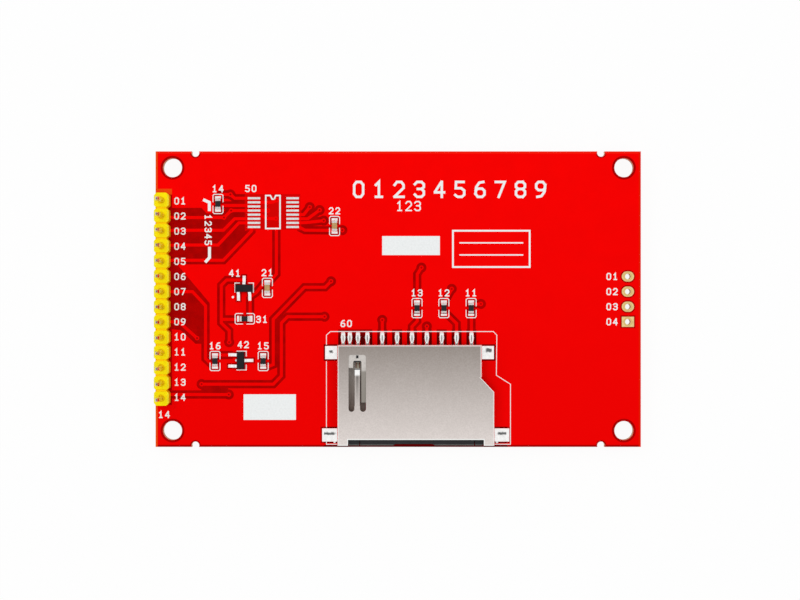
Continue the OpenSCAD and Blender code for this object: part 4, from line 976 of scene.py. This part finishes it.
def via_shade_discs():
    """Painted shade in the vias' mouths: thin dark discs at the level of the board's core."""
    radius, sides = 0.145 * MM, 16
    low, high = TOP - 0.038 * MM, TOP - 0.02 * MM
    circle = [(radius * math.cos(2 * math.pi * i / sides), radius * math.sin(2 * math.pi * i / sides))
              for i in range(sides)]
    verts, faces = [], []
    for x, y in via_places():
        start = len(verts)
        for z in (low, high):
            verts += [(x + dx, y + dy, z) for dx, dy in circle]
        lower = list(range(start, start + sides))
        upper = [i + sides for i in lower]
        faces += [tuple(reversed(lower)), tuple(upper)]
        faces += [(lower[i - 1], lower[i], upper[i], upper[i - 1]) for i in range(sides)]
    s = Shader("via_shade_disc")
    s.set(Base_Color=(0.06, 0.012, 0.008), Roughness=0.6, Specular_IOR_Level=0.05)
    add_piece("via_shade_discs", verts, faces, s.material)


via_shade_discs()

# ---------------------------------------------------------------- floor, light and camera

FLOOR_WHITE = 0.92
WORLD_LIGHT = 0.42


def floor():
    """A pale floor: nearly white to the camera with a faint shadow, and open from below."""
    half, below = 1.5, 0.02 * MM
    corners = [(-half, -half, 0), (half, -half, 0), (half, half, 0), (-half, half, 0)]
    mesh = bpy.data.meshes.new("floor")
    mesh.from_pydata(corners, [], [(0, 1, 2, 3)])
    obj = bpy.data.objects.new("floor", mesh)
    bpy.context.scene.collection.objects.link(obj)
    obj.location.z = -below
    s = Shader("floor_white")
    s.set(Base_Color=(0.93, 0.93, 0.93), Roughness=0.9, Specular_IOR_Level=0.0)
    path = s.node("ShaderNodeLightPath")
    white = s.node("ShaderNodeEmission")
    white.inputs["Strength"].default_value = 1.0
    seen = s.node("ShaderNodeMixShader")
    s.put(seen.inputs[0], s.times(path.outputs["Is Camera Ray"], FLOOR_WHITE))
    s.link(s.surface.outputs[0], seen.inputs[1])
    s.link(white.outputs[0], seen.inputs[2])
    side = s.node("ShaderNodeNewGeometry")
    open_below = s.node("ShaderNodeMixShader")
    s.link(side.outputs["Backfacing"], open_below.inputs[0])
    s.link(seen.outputs[0], open_below.inputs[1])
    s.link(s.node("ShaderNodeBsdfTransparent").outputs[0], open_below.inputs[2])
    s.link(open_below.outputs[0], s.tree.nodes["Material Output"].inputs["Surface"])
    mesh.materials.append(s.material)


def world():
    """A white room to the camera, to metal and through glass, and a dimmer light to all else."""
    studio = bpy.data.worlds.new("studio")
    bpy.context.scene.world = studio
    studio.use_nodes = True
    nodes, links = studio.node_tree.nodes, studio.node_tree.links
    nodes.clear()
    path = nodes.new("ShaderNodeLightPath")
    seen = path.outputs["Is Camera Ray"]
    for ray in ("Is Glossy Ray", "Is Transmission Ray"):
        either = nodes.new("ShaderNodeMath")
        either.operation = "MAXIMUM"
        links.new(seen, either.inputs[0])
        links.new(path.outputs[ray], either.inputs[1])
        seen = either.outputs[0]
    strength = nodes.new("ShaderNodeMapRange")
    strength.inputs["To Min"].default_value = WORLD_LIGHT
    strength.inputs["To Max"].default_value = 1.0
    links.new(seen, strength.inputs["Value"])
    background = nodes.new("ShaderNodeBackground")
    background.inputs["Color"].default_value = (1, 1, 1, 1)
    links.new(strength.outputs[0], background.inputs["Strength"])
    output = nodes.new("ShaderNodeOutputWorld")
    links.new(background.outputs[0], output.inputs["Surface"])


def lamp(name, place, size, power):
    """A square soft light that looks at the middle of the board. Metal shows no lamp."""
    data = bpy.data.lights.new(name, "AREA")
    data.shape = "SQUARE"
    data.size = size
    data.energy = power
    obj = bpy.data.objects.new(name, data)
    obj.location = place
    obj.rotation_euler = (-Vector(place)).to_track_quat("-Z", "Y").to_euler()
    obj.visible_glossy = False
    bpy.context.scene.collection.objects.link(obj)


def camera():
    """It looks straight down on the board from well above, a little off its middle."""
    distance, off_x, off_y = 321.5 * MM, 0.30 * MM, -0.145 * MM
    data = bpy.data.cameras.new("camera")
    data.sensor_width = 36
    data.lens = 86.04
    obj = bpy.data.objects.new("camera", data)
    obj.location = (off_x, off_y, TOP + distance)
    bpy.context.scene.collection.objects.link(obj)
    bpy.context.scene.camera = obj


floor()
world()
lamp("key", (-0.24, 0.20, 0.80), size=0.6, power=2.6)
lamp("fill", (0.24, -0.06, 0.80), size=0.6, power=2.2)
camera()
bpy.context.scene.view_settings.view_transform = "Standard"
